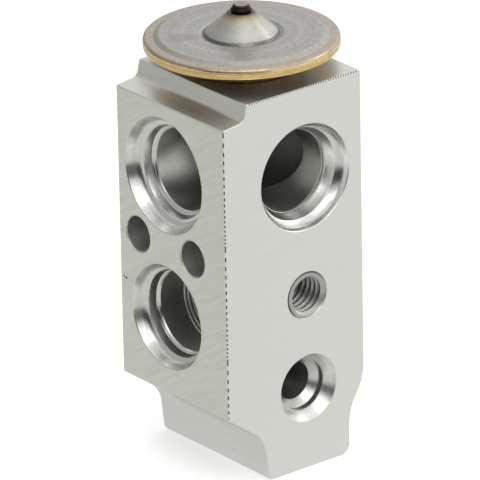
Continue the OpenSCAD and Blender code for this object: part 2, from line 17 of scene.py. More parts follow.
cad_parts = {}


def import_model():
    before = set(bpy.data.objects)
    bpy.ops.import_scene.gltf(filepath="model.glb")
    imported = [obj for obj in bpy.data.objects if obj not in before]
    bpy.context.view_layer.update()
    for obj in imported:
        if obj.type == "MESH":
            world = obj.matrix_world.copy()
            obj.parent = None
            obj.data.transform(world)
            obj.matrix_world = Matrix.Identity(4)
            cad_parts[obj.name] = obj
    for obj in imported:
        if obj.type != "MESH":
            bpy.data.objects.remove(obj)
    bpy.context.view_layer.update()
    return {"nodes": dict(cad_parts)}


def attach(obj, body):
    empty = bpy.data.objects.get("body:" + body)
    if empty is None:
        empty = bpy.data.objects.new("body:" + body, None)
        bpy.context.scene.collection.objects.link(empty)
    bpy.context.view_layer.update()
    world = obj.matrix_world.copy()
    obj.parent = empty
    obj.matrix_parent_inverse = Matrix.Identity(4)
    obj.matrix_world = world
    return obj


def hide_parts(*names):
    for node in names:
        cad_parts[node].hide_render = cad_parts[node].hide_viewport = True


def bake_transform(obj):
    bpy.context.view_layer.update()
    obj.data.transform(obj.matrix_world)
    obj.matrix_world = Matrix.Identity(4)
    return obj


MM = 0.001
TAU = 2.0 * math.pi
# Points nearer than this, in metres, are one.
MERGE = 1e-7
# How far a cutter starts outside its face, in millimetres.
CLEAR = 1.0
# Places of the block's faces and of the stud hole's axis, in millimetres.
LEFT_FACE = -18.2
HOSE_FACE = -17.15
BLOCK_TOP = 72.6
STUD_AXIS = 33.2
LOG = logging.getLogger("expansion_valve")

Colour = tuple[float, float, float]
Place = tuple[float, float, float]
Point = tuple[float, float]
Corner = tuple[float, float, float]
Stop = tuple[float, Colour]
Spot = tuple[Place, float]
AXIS: Place = (0.0, 0.0, 0.0)
UPWARDS: Place = (0.0, 0.0, 1.0)
WHITE: Colour = (1.0, 1.0, 1.0)


class Body(Enum):
    """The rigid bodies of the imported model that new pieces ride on."""

    BLOCK = "block"
    TRAIN = "valve_train"
    LIFT = "adjuster_lift"


class Way(Enum):
    """Which way a turned shape's own axis points once it is in place."""

    UP = "up"
    INTO_HOSE_FACE = "into_hose_face"
    INTO_EVAPORATOR_FACE = "into_evaporator_face"

    def turn(self) -> Matrix:
        """The rotation from +Z to this way.

        Returns:
            The rotation, as a 4 by 4 matrix.
        """
        if self is Way.INTO_HOSE_FACE:
            return Matrix.Rotation(-math.pi / 2.0, 4, "X")
        if self is Way.INTO_EVAPORATOR_FACE:
            return Matrix.Rotation(math.pi / 2.0, 4, "Y")
        return Matrix.Identity(4)


class Signal:
    """A number that travels through a shader, with Python's operators."""

    def __init__(self, graph: "Graph", socket: bpy.types.NodeSocket) -> None:
        """Wraps a socket of a graph."""
        self.graph = graph
        self.socket = socket

    def _math(self, operation: str, *values: Any) -> "Signal":
        """Adds one Math node with this operation, fed with signals or numbers."""
        return self.graph.number("ShaderNodeMath", {"operation": operation}, dict(enumerate(values)))

    def __add__(self, other: Any) -> "Signal":
        """Sum."""
        return self._math("ADD", self, other)

    __radd__ = __add__

    def __sub__(self, other: Any) -> "Signal":
        """Difference."""
        return self._math("SUBTRACT", self, other)

    def __rsub__(self, other: Any) -> "Signal":
        """Difference from a number."""
        return self._math("SUBTRACT", other, self)

    def __mul__(self, other: Any) -> "Signal":
        """Product."""
        return self._math("MULTIPLY", self, other)

    __rmul__ = __mul__

    def __truediv__(self, other: Any) -> "Signal":
        """Quotient."""
        return self._math("DIVIDE", self, other)

    def root(self) -> "Signal":
        """Square root."""
        return self._math("SQRT", self)

    def sine(self) -> "Signal":
        """Sine of an angle in radians."""
        return self._math("SINE", self)

    def log(self) -> "Signal":
        """Natural logarithm."""
        return self._math("LOGARITHM", self, math.e)

    def within(self, span: float) -> "Signal":
        """What is left over after whole spans."""
        return self._math("FLOORED_MODULO", self, span)

    def above(self, low: float, high: float) -> "Signal":
        """A soft step from 0 at low to 1 at high.

        Args:
            low: Where the step starts.
            high: Where it ends; it may lie below low for a falling step.

        Returns:
            The stepped signal.
        """
        settings = {"interpolation_type": "SMOOTHSTEP", "clamp": True}
        values = {"Value": self, "From Min": low, "From Max": high, "To Min": 0.0, "To Max": 1.0}
        if high < low:
            values.update({"From Min": high, "From Max": low, "To Min": 1.0, "To Max": 0.0})
        return self.graph.number("ShaderNodeMapRange", settings, values)


class Graph:
    """The node tree of one material or world."""

    def __init__(self, tree: bpy.types.NodeTree) -> None:
        """Empties a tree, so that its nodes all come from here.

        Args:
            tree: The node tree of a material or world.
        """
        self.tree = tree
        tree.nodes.clear()
        self._object: bpy.types.NodeSocket | None = None

    def node(self, kind: str, settings: dict[str, Any], values: dict[Any, Any]) -> bpy.types.Node:
        """Adds a node, sets it, then feeds its sockets.

        Args:
            kind: The node's type.
            settings: Its own properties; "stops" are a colour ramp's positions and colours.
            values: Numbers, colours, sockets or signals by socket name or number.

        Returns:
            The node.
        """
        made = self.tree.nodes.new(kind)
        for name, value in settings.items():
            if name == "stops":
                ramp = made.color_ramp
                for place, _ in value[2:]:
                    ramp.elements.new(place)
                for stop, (place, colour) in zip(ramp.elements, value):
                    stop.position = place
                    stop.color = (*colour, 1.0)
            else:
                setattr(made, name, value)
        for name, value in values.items():
            socket = made.inputs[name]
            source = value.socket if isinstance(value, Signal) else value
            if isinstance(source, bpy.types.NodeSocket):
                self.tree.links.new(source, socket)
            else:
                socket.default_value = source
        return made

    def number(
        self, kind: str, settings: dict[str, Any], values: dict[Any, Any], out: Any = 0,
    ) -> Signal:
        """Adds a node and wraps one of its outputs as a signal."""
        return Signal(self, self.node(kind, settings, values).outputs[out])

    def place(self) -> bpy.types.NodeSocket:
        """The point of the surface in the frame of the model, in metres."""
        if self._object is None:
            self._object = self.node("ShaderNodeTexCoord", {}, {}).outputs["Object"]
        return self._object

    def split(self, vector: Any) -> tuple[Signal, Signal, Signal]:
        """The three parts of a vector."""
        x, y, z = self.node("ShaderNodeSeparateXYZ", {}, {0: vector}).outputs
        return Signal(self, x), Signal(self, y), Signal(self, z)

    def join(self, x: Any, y: Any, z: Any) -> bpy.types.NodeSocket:
        """A vector from three parts."""
        return self.node("ShaderNodeCombineXYZ", {}, {0: x, 1: y, 2: z}).outputs[0]

    def along(self, vector: Any, way: Place) -> Signal:
        """How far a vector reaches along a way."""
        settings = {"operation": "DOT_PRODUCT"}
        return self.number("ShaderNodeVectorMath", settings, {0: vector, 1: way}, "Value")

    def spot(self, centre: Place, radius: float) -> Signal:
        """A round patch with a soft border.

        Args:
            centre: Its middle, in millimetres.
            radius: Its radius, in millimetres.

        Returns:
            Its mask, from 0 to 1.
        """
        values = {0: self.place(), 1: tuple(part * MM for part in centre)}
        distance = self.number("ShaderNodeVectorMath", {"operation": "DISTANCE"}, values, "Value")
        return distance.above(radius * MM, radius * 0.6 * MM)

    def grain(self, vector: Any, scale: float, detail: float = 2.0, rough: float = 0.5) -> Signal:
        """Noise between 0 and 1.

        Args:
            vector: Where it is read.
            scale: Waves for each metre of the vector.
            detail: Octaves of finer noise.
            rough: Share of the finer noise.

        Returns:
            The noise.
        """
        values = {"Vector": vector, "Scale": scale, "Detail": detail, "Roughness": rough}
        return self.number("ShaderNodeTexNoise", {}, values)

    def blend(self, first: Any, second: Any, share: Any) -> bpy.types.NodeSocket:
        """A colour between two.

        Args:
            first: The colour at share 0.
            second: The colour at share 1.
            share: The share of the second.

        Returns:
            The blended colour.
        """
        values = {0: share, 6: _rgba(first), 7: _rgba(second)}
        return self.node("ShaderNodeMix", {"data_type": "RGBA"}, values).outputs[2]

    def surface(self, shader: bpy.types.Node) -> None:
        """Shows a shader on the surface of the material."""
        self.node("ShaderNodeOutputMaterial", {}, {0: shader.outputs[0]})

    def emission(self, colour: Colour, strength: Any) -> bpy.types.NodeSocket:
        """A glowing shader."""
        values = {"Color": _rgba(colour), "Strength": strength}
        return self.node("ShaderNodeEmission", {}, values).outputs[0]

    def bump(self, height: Signal, depth: float) -> bpy.types.NodeSocket:
        """A surface direction that a height between 0 and 1 disturbs.

        Args:
            height: The height.
            depth: What a height of 1 stands for, in millimetres.

        Returns:
            The disturbed direction.
        """
        values = {"Strength": 1.0, "Distance": depth * MM, "Height": height}
        return self.node("ShaderNodeBump", {}, values).outputs[0]


def _rgba(colour: Any) -> Any:
    """A written colour with its alpha; anything else as it is."""
    return (*colour, 1.0) if isinstance(colour, tuple) and len(colour) == 3 else colour


def new_material(name: str) -> tuple[bpy.types.Material, Graph]:
    """Makes a material with nothing in its node tree yet.

    Args:
        name: The material's name.

    Returns:
        The material and the graph of its tree.
    """
    material = bpy.data.materials.new(name)
    material.use_nodes = True
    return material, Graph(material.node_tree)


# How many times broader than the relief a finish's darker patches are.
PATCH_SIZE = 14.0


@dataclass(frozen=True)
class Finish:
    """A finish of one colour family, with noise in tone, gloss and relief.

    Attributes:
        name: The material's name.
        colour: Its main colour.
        dark: The colour of its darker patches.
        roughness: Its lowest and highest roughness.
        metallic: 1 for metal, 0 for rubber.
        depth: Depth of its relief, in millimetres.
        scale: Waves of its relief for each metre.
    """

    name: str
    colour: Colour
    dark: Colour
    roughness: Point = (0.3, 0.4)
    metallic: float = 1.0
    depth: float = 0.004
    scale: float = 2600.0

    def relief(self, graph: Graph) -> Signal:
        """The height of the surface, from 0 to 1."""
        return graph.grain(graph.place(), self.scale, detail=3.0)

    def wear(self, graph: Graph) -> Signal:
        """Where the darker patches lie, from 0 to 1."""
        return graph.grain(graph.place(), self.scale / PATCH_SIZE, detail=3.0).above(0.42, 0.68)

    def tone(self, graph: Graph, wear: Signal) -> Any:
        """The colour over the surface."""
        return graph.blend(self.colour, self.dark, wear)

    def build(self) -> bpy.types.Material:
        """Makes the material.

        Returns:
            The material, made once for each name.
        """
        label = f"{self.name}_finish"
        known = bpy.data.materials.get(label)
        if known is not None:
            return known
        material, graph = new_material(label)
        wear = self.wear(graph)
        relief = self.relief(graph)
        low, high = self.roughness
        values = {
            "Base Color": self.tone(graph, wear),
            "Metallic": self.metallic,
            "Roughness": relief * (high - low) + low,
            "Normal": graph.bump(relief, self.depth),
        }
        graph.surface(graph.node("ShaderNodeBsdfPrincipled", {}, values))
        return material


# Length over which a row of notches fades at its ends, in millimetres.
FADE = 0.2
# Painted shade of the small pits.
PIT_SHADE_TONE: Colour = (0.03, 0.03, 0.03)
# Painted shade of the burred edges' notches, and the painted glint of the burrs between them.
NOTCH_SHADE_TONE: Colour = (0.04, 0.04, 0.038)
PAINTED_BURR_GLINT: Colour = (0.97, 0.97, 0.96)


@dataclass(frozen=True)
class BurredEdge:
    """A row of small notches that the cutters left along one straight edge, painted as dark shade with
    painted glints between them.

    The notches crowd together along each stretch of the edge, then start again wide apart.

    Attributes:
        normal_axis: Axis, 0 to 2, across which the distance from the edge is measured.
        place: Where the edge lies on that axis, in millimetres.
        inward: 1 where the face lies on the axis's positive side of the edge, else -1.
        run_axis: Axis along which the notches follow each other.
        run: First and last place of the notches on that axis, in millimetres.
        pitch: Widest and narrowest distance between notches, in millimetres.
        stretch: Length over which the distance shrinks, in millimetres.
        width: How far they reach into the face, in millimetres.
    """

    normal_axis: int
    place: float
    inward: float
    run_axis: int
    run: Point
    pitch: Point
    stretch: float
    width: float

    def notches(self, graph: Graph) -> tuple[Signal, Signal]:
        """Where the painted shade of the notches and the painted glints between them lie.

        Args:
            graph: The material's graph.

        Returns:
            Both masks, from 0 to 1.
        """
        parts = graph.split(graph.place())
        along = parts[self.run_axis] / MM
        ragged = graph.grain(graph.join(along * MM, 0.31, 0.0), scale=1100.0) - 0.5
        distance = (parts[self.normal_axis] / MM - self.place) * self.inward + ragged * self.width
        shrink = (self.pitch[0] - self.pitch[1]) / self.stretch
        gone = (self.run[1] - along).within(self.stretch)
        turns = (1.0 - gone * (shrink / self.pitch[0])).log() * (-1.0 / shrink)
        dark = ((turns * TAU).sine() + ragged * 0.9).above(-0.05, 0.25)
        near = distance.above(self.width * 1.15, self.width * 0.75)
        first, last = self.run
        inside = along.above(first - FADE, first) * along.above(last + FADE, last)
        return dark * near * inside, (1.0 - dark) * near * inside


@dataclass(frozen=True)
class CutFace(Finish):
    """A face that a saw or cutter crossed in straight or slanting strokes.

    Attributes:
        across: Direction across the strokes, in the frame of the model.
        along: Direction along the strokes.
        pitch: Distance between strokes, in millimetres.
        edges: The burred edges of the face.
        pits: Middle and radius of small pits, painted near-black as shade, in millimetres.
    """

    across: Place = (0.0, 0.0, 1.0)
    along: Place = (1.0, 0.0, 0.0)
    pitch: float = 0.35
    edges: tuple[BurredEdge, ...] = ()
    pits: tuple[Spot, ...] = ()

    def tone(self, graph: Graph, wear: Signal) -> Any:
        """The colour over the surface, with painted shade in its pits and in the notches of its edges, and
        painted glints between the notches.

        Args:
            graph: The material's graph.
            wear: Where the darker strokes lie, from 0 to 1.

        Returns:
            The colour.
        """
        colour = graph.blend(self.colour, self.dark, wear)
        for centre, radius in self.pits:
            colour = graph.blend(colour, PIT_SHADE_TONE, graph.spot(centre, radius))
        for edge in self.edges:
            notch, glint = edge.notches(graph)
            colour = graph.blend(colour, PAINTED_BURR_GLINT, glint * 0.8)
            colour = graph.blend(colour, NOTCH_SHADE_TONE, notch)
        return colour

    def _strokes(self, graph: Graph, stretch: float, scale: float) -> Signal:
        """Noise drawn out along the strokes."""
        across, along = (graph.along(graph.place(), way) for way in (self.across, self.along))
        return graph.grain(graph.join(across, along / stretch, 0.0), scale, detail=4.0, rough=0.6)

    def relief(self, graph: Graph) -> Signal:
        """Fine strokes over a little grain."""
        fine = self._strokes(graph, stretch=60.0, scale=0.5 / (self.pitch * MM))
        return fine * 0.8 + graph.grain(graph.place(), self.scale) * 0.2

    def wear(self, graph: Graph) -> Signal:
        """Broad strokes of a slightly other tone."""
        return self._strokes(graph, stretch=14.0, scale=0.3 / (self.pitch * MM)).above(0.3, 0.75)


@dataclass(frozen=True)
class Turned(Finish):
    """A surface that was turned or bored about an axis.

    Attributes:
        centre: A point on the axis, in millimetres.
        way: Which way the axis points.
        pitch: Distance between the tool's rings, in millimetres.
    """

    centre: Place = AXIS
    way: Way = Way.UP
    pitch: float = 0.12

    def rings(self, graph: Graph) -> tuple[Signal, Signal]:
        """Measures from the axis.

        Args:
            graph: The material's graph.

        Returns:
            Distance from the axis and along it, in metres.
        """
        values = {0: graph.place(), 1: tuple(part * MM for part in self.centre)}
        moved = graph.node("ShaderNodeVectorMath", {"operation": "SUBTRACT"}, values)
        x, y, z = graph.split(moved.outputs[0])
        if self.way is Way.INTO_HOSE_FACE:
            return (x * x + z * z).root(), y
        if self.way is Way.INTO_EVAPORATOR_FACE:
            return (y * y + z * z).root(), x
        return (x * x + y * y).root(), z

    def relief(self, graph: Graph) -> Signal:
        """The rings that the tool left.

        Args:
            graph: The material's graph.

        Returns:
            The height of the surface, from 0 to 1.
        """
        radius, depth = self.rings(graph)
        scale = 0.5 / (self.pitch * MM)
        return graph.grain(graph.join(radius, depth, 0.0), scale, detail=3.0, rough=0.65)

    def wear(self, graph: Graph) -> Signal:
        """Broader rings of a slightly other tone, broken up by patches.

        Args:
            graph: The material's graph.

        Returns:
            Where they lie, from 0 to 1.
        """
        radius, depth = self.rings(graph)
        broad = graph.grain(graph.join(radius, depth, 0.2), 0.12 / (self.pitch * MM))
        patches = graph.grain(graph.place(), scale=1100.0, detail=5.0, rough=0.7)
        return (broad * 0.5 + patches * 0.5).above(0.38, 0.66)


@dataclass(frozen=True)
class Tinted(Turned):
    """A turned surface whose colour changes outwards or along its axis, like the tints of a weld; some
    stops paint shade or a highlight instead.

    Attributes:
        stops: Place, in millimetres, and colour of each tint.
        by_radius: Whether the place is the distance from the axis or the one along it.
        ragged: How far the limits wander, in millimetres.
        mottled: Share of the darker rings.
        stains: Middle and radius of dark stains, in millimetres.
    """

    stops: tuple[Stop, ...] = ()
    by_radius: bool = False
    ragged: float = 0.1
    mottled: float = 0.25
    stains: tuple[Spot, ...] = ()

    def tone(self, graph: Graph, wear: Signal) -> Any:
        """The tints, one after the other, with uneven limits.

        Args:
            graph: The material's graph.
            wear: Where the darker rings lie, from 0 to 1.

        Returns:
            The colour.
        """
        radius, height = self.rings(graph)
        place = (radius if self.by_radius else height) / MM
        uneven = graph.grain(graph.place(), scale=420.0, detail=4.0, rough=0.6) - 0.5
        first, last = self.stops[0][0], self.stops[-1][0]
        share = (place + uneven * (2.0 * self.ragged) - first) / (last - first)
        stops = [((at - first) / (last - first), tint) for at, tint in self.stops]
        ramp = graph.node("ShaderNodeValToRGB", {"stops": stops}, {0: share})
        colour = graph.blend(ramp.outputs[0], self.dark, wear * self.mottled)
        for centre, radius in self.stains:
            colour = graph.blend(colour, self.dark, graph.spot(centre, radius) * 0.4)
        return colour


ALUMINIUM: Colour = (0.80, 0.80, 0.765)
ALUMINIUM_DARK: Colour = (0.70, 0.70, 0.67)
OILY_ALUMINIUM: Colour = (0.45, 0.45, 0.42)
# Painted shade: a bore's grey falls with its depth, from 0.76 at 4 mm to 0.46 at 12.5 mm.
BORE_SHADE_GREYS: tuple[Point, ...] = ((4.0, 0.76), (9.0, 0.68), (12.5, 0.46))
BORE_WARMTH = 0.945


def port_finish(name: str, centre: Place, way: Way, roughness: Point) -> Turned:
    """The bright turned finish of one port.

    Args:
        name: The material's name.
        centre: A point on the port's axis, in millimetres.
        way: Which way the port runs.
        roughness: Its lowest and highest roughness.

    Returns:
        The finish.
    """
    return Turned(name, ALUMINIUM, ALUMINIUM_DARK, roughness, depth=0.010, centre=centre, way=way)


def bore_finish(name: str, centre: Place, way: Way, tone: float = 1.0) -> Tinted:
    """The duller finish of a bore, with painted shade that darkens it with depth.

    Args:
        name: The material's name.
        centre: Where the bore's axis meets the face, in millimetres.
        way: Which way the bore runs.
        tone: Its brightness, against a common bore; below 1 it paints deeper shade into the hole.

    Returns:
        The finish.
    """
    stops = tuple(
        (depth, (grey * tone, grey * tone, grey * tone * BORE_WARMTH)) for depth, grey in BORE_SHADE_GREYS
    )
    return Tinted(
        name, ALUMINIUM, OILY_ALUMINIUM, (0.32, 0.44), depth=0.035, centre=centre, way=way, pitch=0.2,
        stops=stops,
    )


def new_piece(bm: bmesh.types.BMesh, name: str, body: Body, sharp: float = 28.0) -> bpy.types.Object:
    """Makes a finished piece from a mesh and lets it ride on a body.

    Args:
        bm: The mesh, in metres; it is freed.
        name: The piece's name.
        body: The body that it rides on.
        sharp: Angle in degrees from which an edge stays crisp.

    Returns:
        The piece.
    """
    piece = loose_object(bm, name, sharp)
    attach(piece, body.value)
    LOG.info("%s: %d faces on %s", name, len(piece.data.polygons), body.value)
    return piece


def loose_object(bm: bmesh.types.BMesh, name: str, sharp: float = 28.0) -> bpy.types.Object:
    """Makes an object from a mesh, smooth but for its crisp edges.

    Args:
        bm: The mesh, in metres; it is freed.
        name: The object's name.
        sharp: Angle in degrees from which an edge stays crisp.

    Returns:
        The object, which rides on nothing yet.
    """
    limit = math.radians(sharp)
    for face in bm.faces:
        face.smooth = True
    for edge in bm.edges:
        edge.smooth = len(edge.link_faces) == 2 and edge.calc_face_angle(0.0) < limit
    mesh = bpy.data.meshes.new(name)
    bm.to_mesh(mesh)
    bm.free()
    made = bpy.data.objects.new(name, mesh)
    bpy.context.scene.collection.objects.link(made)
    return made


def rounded_section(corners: Sequence[Corner], segments: int = 8) -> bmesh.types.BMesh:
    """A flat face in the XZ plane whose corners are rounded.

    Args:
        corners: X, Z and radius of each corner, in millimetres.
        segments: Segments of each round.

    Returns:
        A mesh of the one face.
    """
    bm = bmesh.new()
    verts = [bm.verts.new((x * MM, 0.0, z * MM)) for x, z, _ in corners]
    bm.faces.new(verts)
    count = len(corners)
    for index, (vert, corner) in enumerate(zip(verts, corners)):
        if corner[2] <= 0.0:
            continue
        here = Vector(corner[:2])
        before = (Vector(corners[index - 1][:2]) - here).normalized()
        after = (Vector(corners[(index + 1) % count][:2]) - here).normalized()
        setback = corner[2] / math.tan(before.angle(after) / 2.0)
        bmesh.ops.bevel(
            bm, geom=[vert], offset=setback * MM, offset_type="OFFSET", affect="VERTICES",
            segments=segments, profile=0.5, clamp_overlap=False, material=-1,
        )
    return bm


def spun(bm: bmesh.types.BMesh, steps: int = 192) -> bmesh.types.BMesh:
    """Spins the outline of a flat section about Z into a closed body.

    Args:
        bm: A mesh of one face in the XZ plane.
        steps: Steps of the full turn.

    Returns:
        The same mesh, spun.
    """
    bmesh.ops.delete(bm, geom=list(bm.faces), context="FACES_ONLY")
    on_axis = [e for e in bm.edges if all(abs(v.co.x) < MERGE for v in e.verts)]
    bmesh.ops.delete(bm, geom=on_axis, context="EDGES")
    bmesh.ops.spin(
        bm, geom=[*bm.verts, *bm.edges], cent=AXIS, axis=UPWARDS, angle=TAU, steps=steps,
        use_merge=True, use_duplicate=False,
    )
    bmesh.ops.remove_doubles(bm, verts=bm.verts, dist=MERGE)
    bmesh.ops.recalc_face_normals(bm, faces=bm.faces)
    return bm


def arc(centre: Point, radius: float, start: float, finish: float, steps: int) -> list[Point]:
    """Points of an arc; angles in degrees from the first axis."""
    angles = [math.radians(start + (finish - start) * i / steps) for i in range(steps + 1)]
    return [(centre[0] + radius * math.cos(a), centre[1] + radius * math.sin(a)) for a in angles]


def sharp_corners(points: Sequence[Point]) -> list[Corner]:
    """Corners that keep their edge."""
    return [(x, y, 0.0) for x, y in points]


def lifted(height: float, *corners: Corner) -> list[Corner]:
    """Corners moved up by a height."""
    return [(x, z + height, rounding) for x, z, rounding in corners]


@dataclass(frozen=True)
class Bore:
    """One stretch of a stepped hole.

    Attributes:
        radius: Its radius.
        end: Depth at which it ends.
        slope: Depth that the step from the stretch before it takes.
    """

    radius: float
    end: float
    slope: float = 0.01


def stepped(bores: Sequence[Bore], tip: float = 0.0) -> list[Corner]:
    """The outline of a hole whose radius changes with its depth.

    Args:
        bores: Its stretches, from the face inwards.
        tip: Depth of the drill's cone behind the last stretch.

    Returns:
        Radius, depth and rounding of each corner.
    """
    mouth = bores[0]
    outline = [(0.0, -CLEAR), (mouth.radius, -CLEAR), (mouth.radius, mouth.end)]
    for bore in bores[1:]:
        outline += [(bore.radius, outline[-1][1] + bore.slope), (bore.radius, bore.end)]
    return sharp_corners([*outline, (0.0, outline[-1][1] + tip)])


def drilled(radius: float, start: float, end: float) -> list[Corner]:
    """The outline of a plain drilling between two depths."""
    return sharp_corners([(0.0, start), (radius, start), (radius, end), (0.0, end)])


@dataclass
class Shoulder:
    """A drilling that goes on from the floor of a wider hole, over a shoulder of shallow steps.

    Attributes:
        radius: Radius of the drilling.
        start: Depth at which the cut starts, inside the wider hole.
        end: Depth at which it ends.
        wide: Radius of the wider hole.
        floor: Depth of that hole's floor.
        shares: How much of the narrowing is left after each step.
        slope: Slope of a step's tread.
        riser: Height of a step.
    """

    radius: float
    start: float
    end: float
    wide: float
    floor: float
    shares: Point = (0.7, 0.35)
    slope: float = 0.12
    riser: float = 0.35

    def profile(self) -> list[Corner]:
        """Draws the cutter's outline.

        Returns:
            Radius, depth and rounding of each corner.
        """
        narrowing = self.wide - self.radius
        side = self.wide - 0.01
        depth = self.floor
        outline = [(0.0, self.start), (side, self.start), (side, depth)]
        for share in self.shares:
            step = self.radius + narrowing * share
            depth += narrowing * self.slope
            outline += [(step + 0.05, depth), (step, depth + self.riser)]
            depth += self.riser
        outline += [(self.radius, depth + 0.15), (self.radius, self.end), (0.0, self.end)]
        return sharp_corners(outline)


@dataclass
class PortShape:
    """A hose port: lead-in taper, cove, step, second wall, bevelled seat lip and bore.

    Attributes:
        mouth: Radius at the face.
        taper: Radius and depth at the foot of the lead-in taper.
        cove: Width and depth of the cove between that foot and the step.
        lip: Radius and depth of the seat lip at the foot of the second wall.
        bore: Radius of the bore.
        depth: Depth of the bore.
        drop: Depth from the lip to the bore.
        edge: Size of the broken edges.
    """

    mouth: float
    taper: Point
    cove: Point
    lip: Point
    bore: float
    depth: float
    drop: float = 0.45
    edge: float = 0.1

    def profile(self) -> list[Corner]:
        """Draws the cutter's outline.

        Returns:
            Radius, depth and rounding of each corner.
        """
        lean = math.atan((self.mouth - self.taper[0]) / self.taper[1])
        last = 2.0 * math.atan(self.cove[0] / self.cove[1]) - lean
        radius = self.cove[1] / (math.sin(last) - math.sin(lean))
        centre = (self.taper[0] - radius * math.cos(lean), self.taper[1] - radius * math.sin(lean))
        cove = arc(centre, radius, math.degrees(lean), math.degrees(last), 16)
        start = self.lip[1] + self.drop
        middle = ((self.lip[0] + self.bore) / 2.0, (self.lip[1] + start) / 2.0)
        return [
            *sharp_corners([
                (0.0, -CLEAR),
                (self.mouth + 0.02, -CLEAR),
                (self.mouth + 0.02, 0.0),
                (self.mouth - self.edge, self.edge),
                (self.taper[0] + 0.05, self.taper[1] - 0.04),
                *cove[:-1],
            ]),
            (*cove[-1], 0.12),
            *sharp_corners([
                (self.lip[0] + 0.03, self.lip[1] - 0.05),
                (self.lip[0] - 0.04, self.lip[1] + 0.03),
                (middle[0] + 0.03, middle[1] - 0.04),
                (middle[0] - 0.04, middle[1]),
                (self.bore + 0.05, start - 0.02),
                (self.bore, start + 0.06),
                (self.bore, self.depth),
                (0.0, self.depth),
            ]),
        ]


@dataclass
class Cutter:
    """One turned tool path that is taken out of the block.

    Attributes:
        name: Its name, which its finish takes too.
        outline: Radius, depth and rounding of each corner of its outline.
        at: Where its axis meets the face, in millimetres.
        way: Which way it runs.
        steps: Steps of its turn.
        bright: Depth down to which the surface that it leaves is bright; the rest is duller and has painted
            shade that deepens with depth.
        roughness: Lowest and highest roughness of the bright part.
        tone: Brightness of the duller part, against a common bore; below 1 it paints deeper shade.
    """

    name: str
    outline: list[Corner]
    at: Place
    way: Way
    steps: int = 160
    bright: float = 0.0
    roughness: Point = (0.18, 0.28)
    tone: float = 1.0

    def build(self) -> bpy.types.Object:
        """Makes the cutter's closed body, with the finishes of the surface that it leaves.

        Returns:
            The body, in metres and in its place.
        """
        bm = spun(rounded_section(self.outline, segments=4), self.steps)
        for face in bm.faces:
            face.material_index = 1 if face.calc_center_median().z > self.bright * MM else 0
        in_place = Matrix.Translation(Vector(self.at) * MM) @ self.way.turn()
        bmesh.ops.transform(bm, matrix=in_place, verts=bm.verts)
        made = loose_object(bm, self.name)
        turned = port_finish(f"{self.name}_turned", self.at, self.way, self.roughness)
        bored = bore_finish(f"{self.name}_bored", self.at, self.way, self.tone)
        for finish in (turned, bored):
            made.data.materials.append(finish.build())
        return made


class BlockFace(Enum):
    """The outer finishes of the block, in the order of their material slots."""

    SAWN = 0
    MILLED = 1
    DRAWN = 2


def upright_corner(normal_axis: int, place: float) -> BurredEdge:
    """The burrs of the corner between hose face and evaporator face, as one of both shows them: painted
    notch shade and painted glints.
    """
    return BurredEdge(
        normal_axis, place, inward=1.0, run_axis=2, run=(14.6, 68.7),
        pitch=(1.9, 0.65), stretch=21.5, width=0.16,
    )


# Painted notch shade and painted glints along the top edge of the sawn faces.
TOP_TICKS = BurredEdge(
    normal_axis=2, place=BLOCK_TOP, inward=-1.0, run_axis=0, run=(-12.5, 12.0),
    pitch=(0.58, 0.50), stretch=30.0, width=0.31,
)
BLOCK_FINISHES = (
    CutFace(
        "sawn_aluminium", (0.85, 0.855, 0.82), (0.83, 0.835, 0.797), (0.34, 0.46), depth=0.006, pitch=0.3,
        edges=(upright_corner(0, LEFT_FACE), TOP_TICKS),
    ),
    CutFace(
        "milled_aluminium", (0.81, 0.82, 0.74), (0.73, 0.74, 0.665), (0.32, 0.46), depth=0.03, pitch=0.24,
        across=(0.0, 0.5, 0.866), along=(0.0, 0.866, -0.5), edges=(upright_corner(1, HOSE_FACE),),
        # The pits' near-black is painted shade; no hollow is cut for them.
        pits=(((LEFT_FACE, 11.37, 32.61), 0.3), ((LEFT_FACE, 11.9, 32.8), 0.2)),
    ),
    CutFace(
        "drawn_aluminium", (0.84, 0.84, 0.80), (0.79, 0.79, 0.75), (0.34, 0.48), depth=0.005, pitch=0.3,
        across=(1.0, 0.0, 1.0), along=(0.0, 1.0, 0.0),
    ),
)


def slope_of(angle: float) -> float:
    """The slope of an angle in degrees."""
    return math.tan(math.radians(angle))


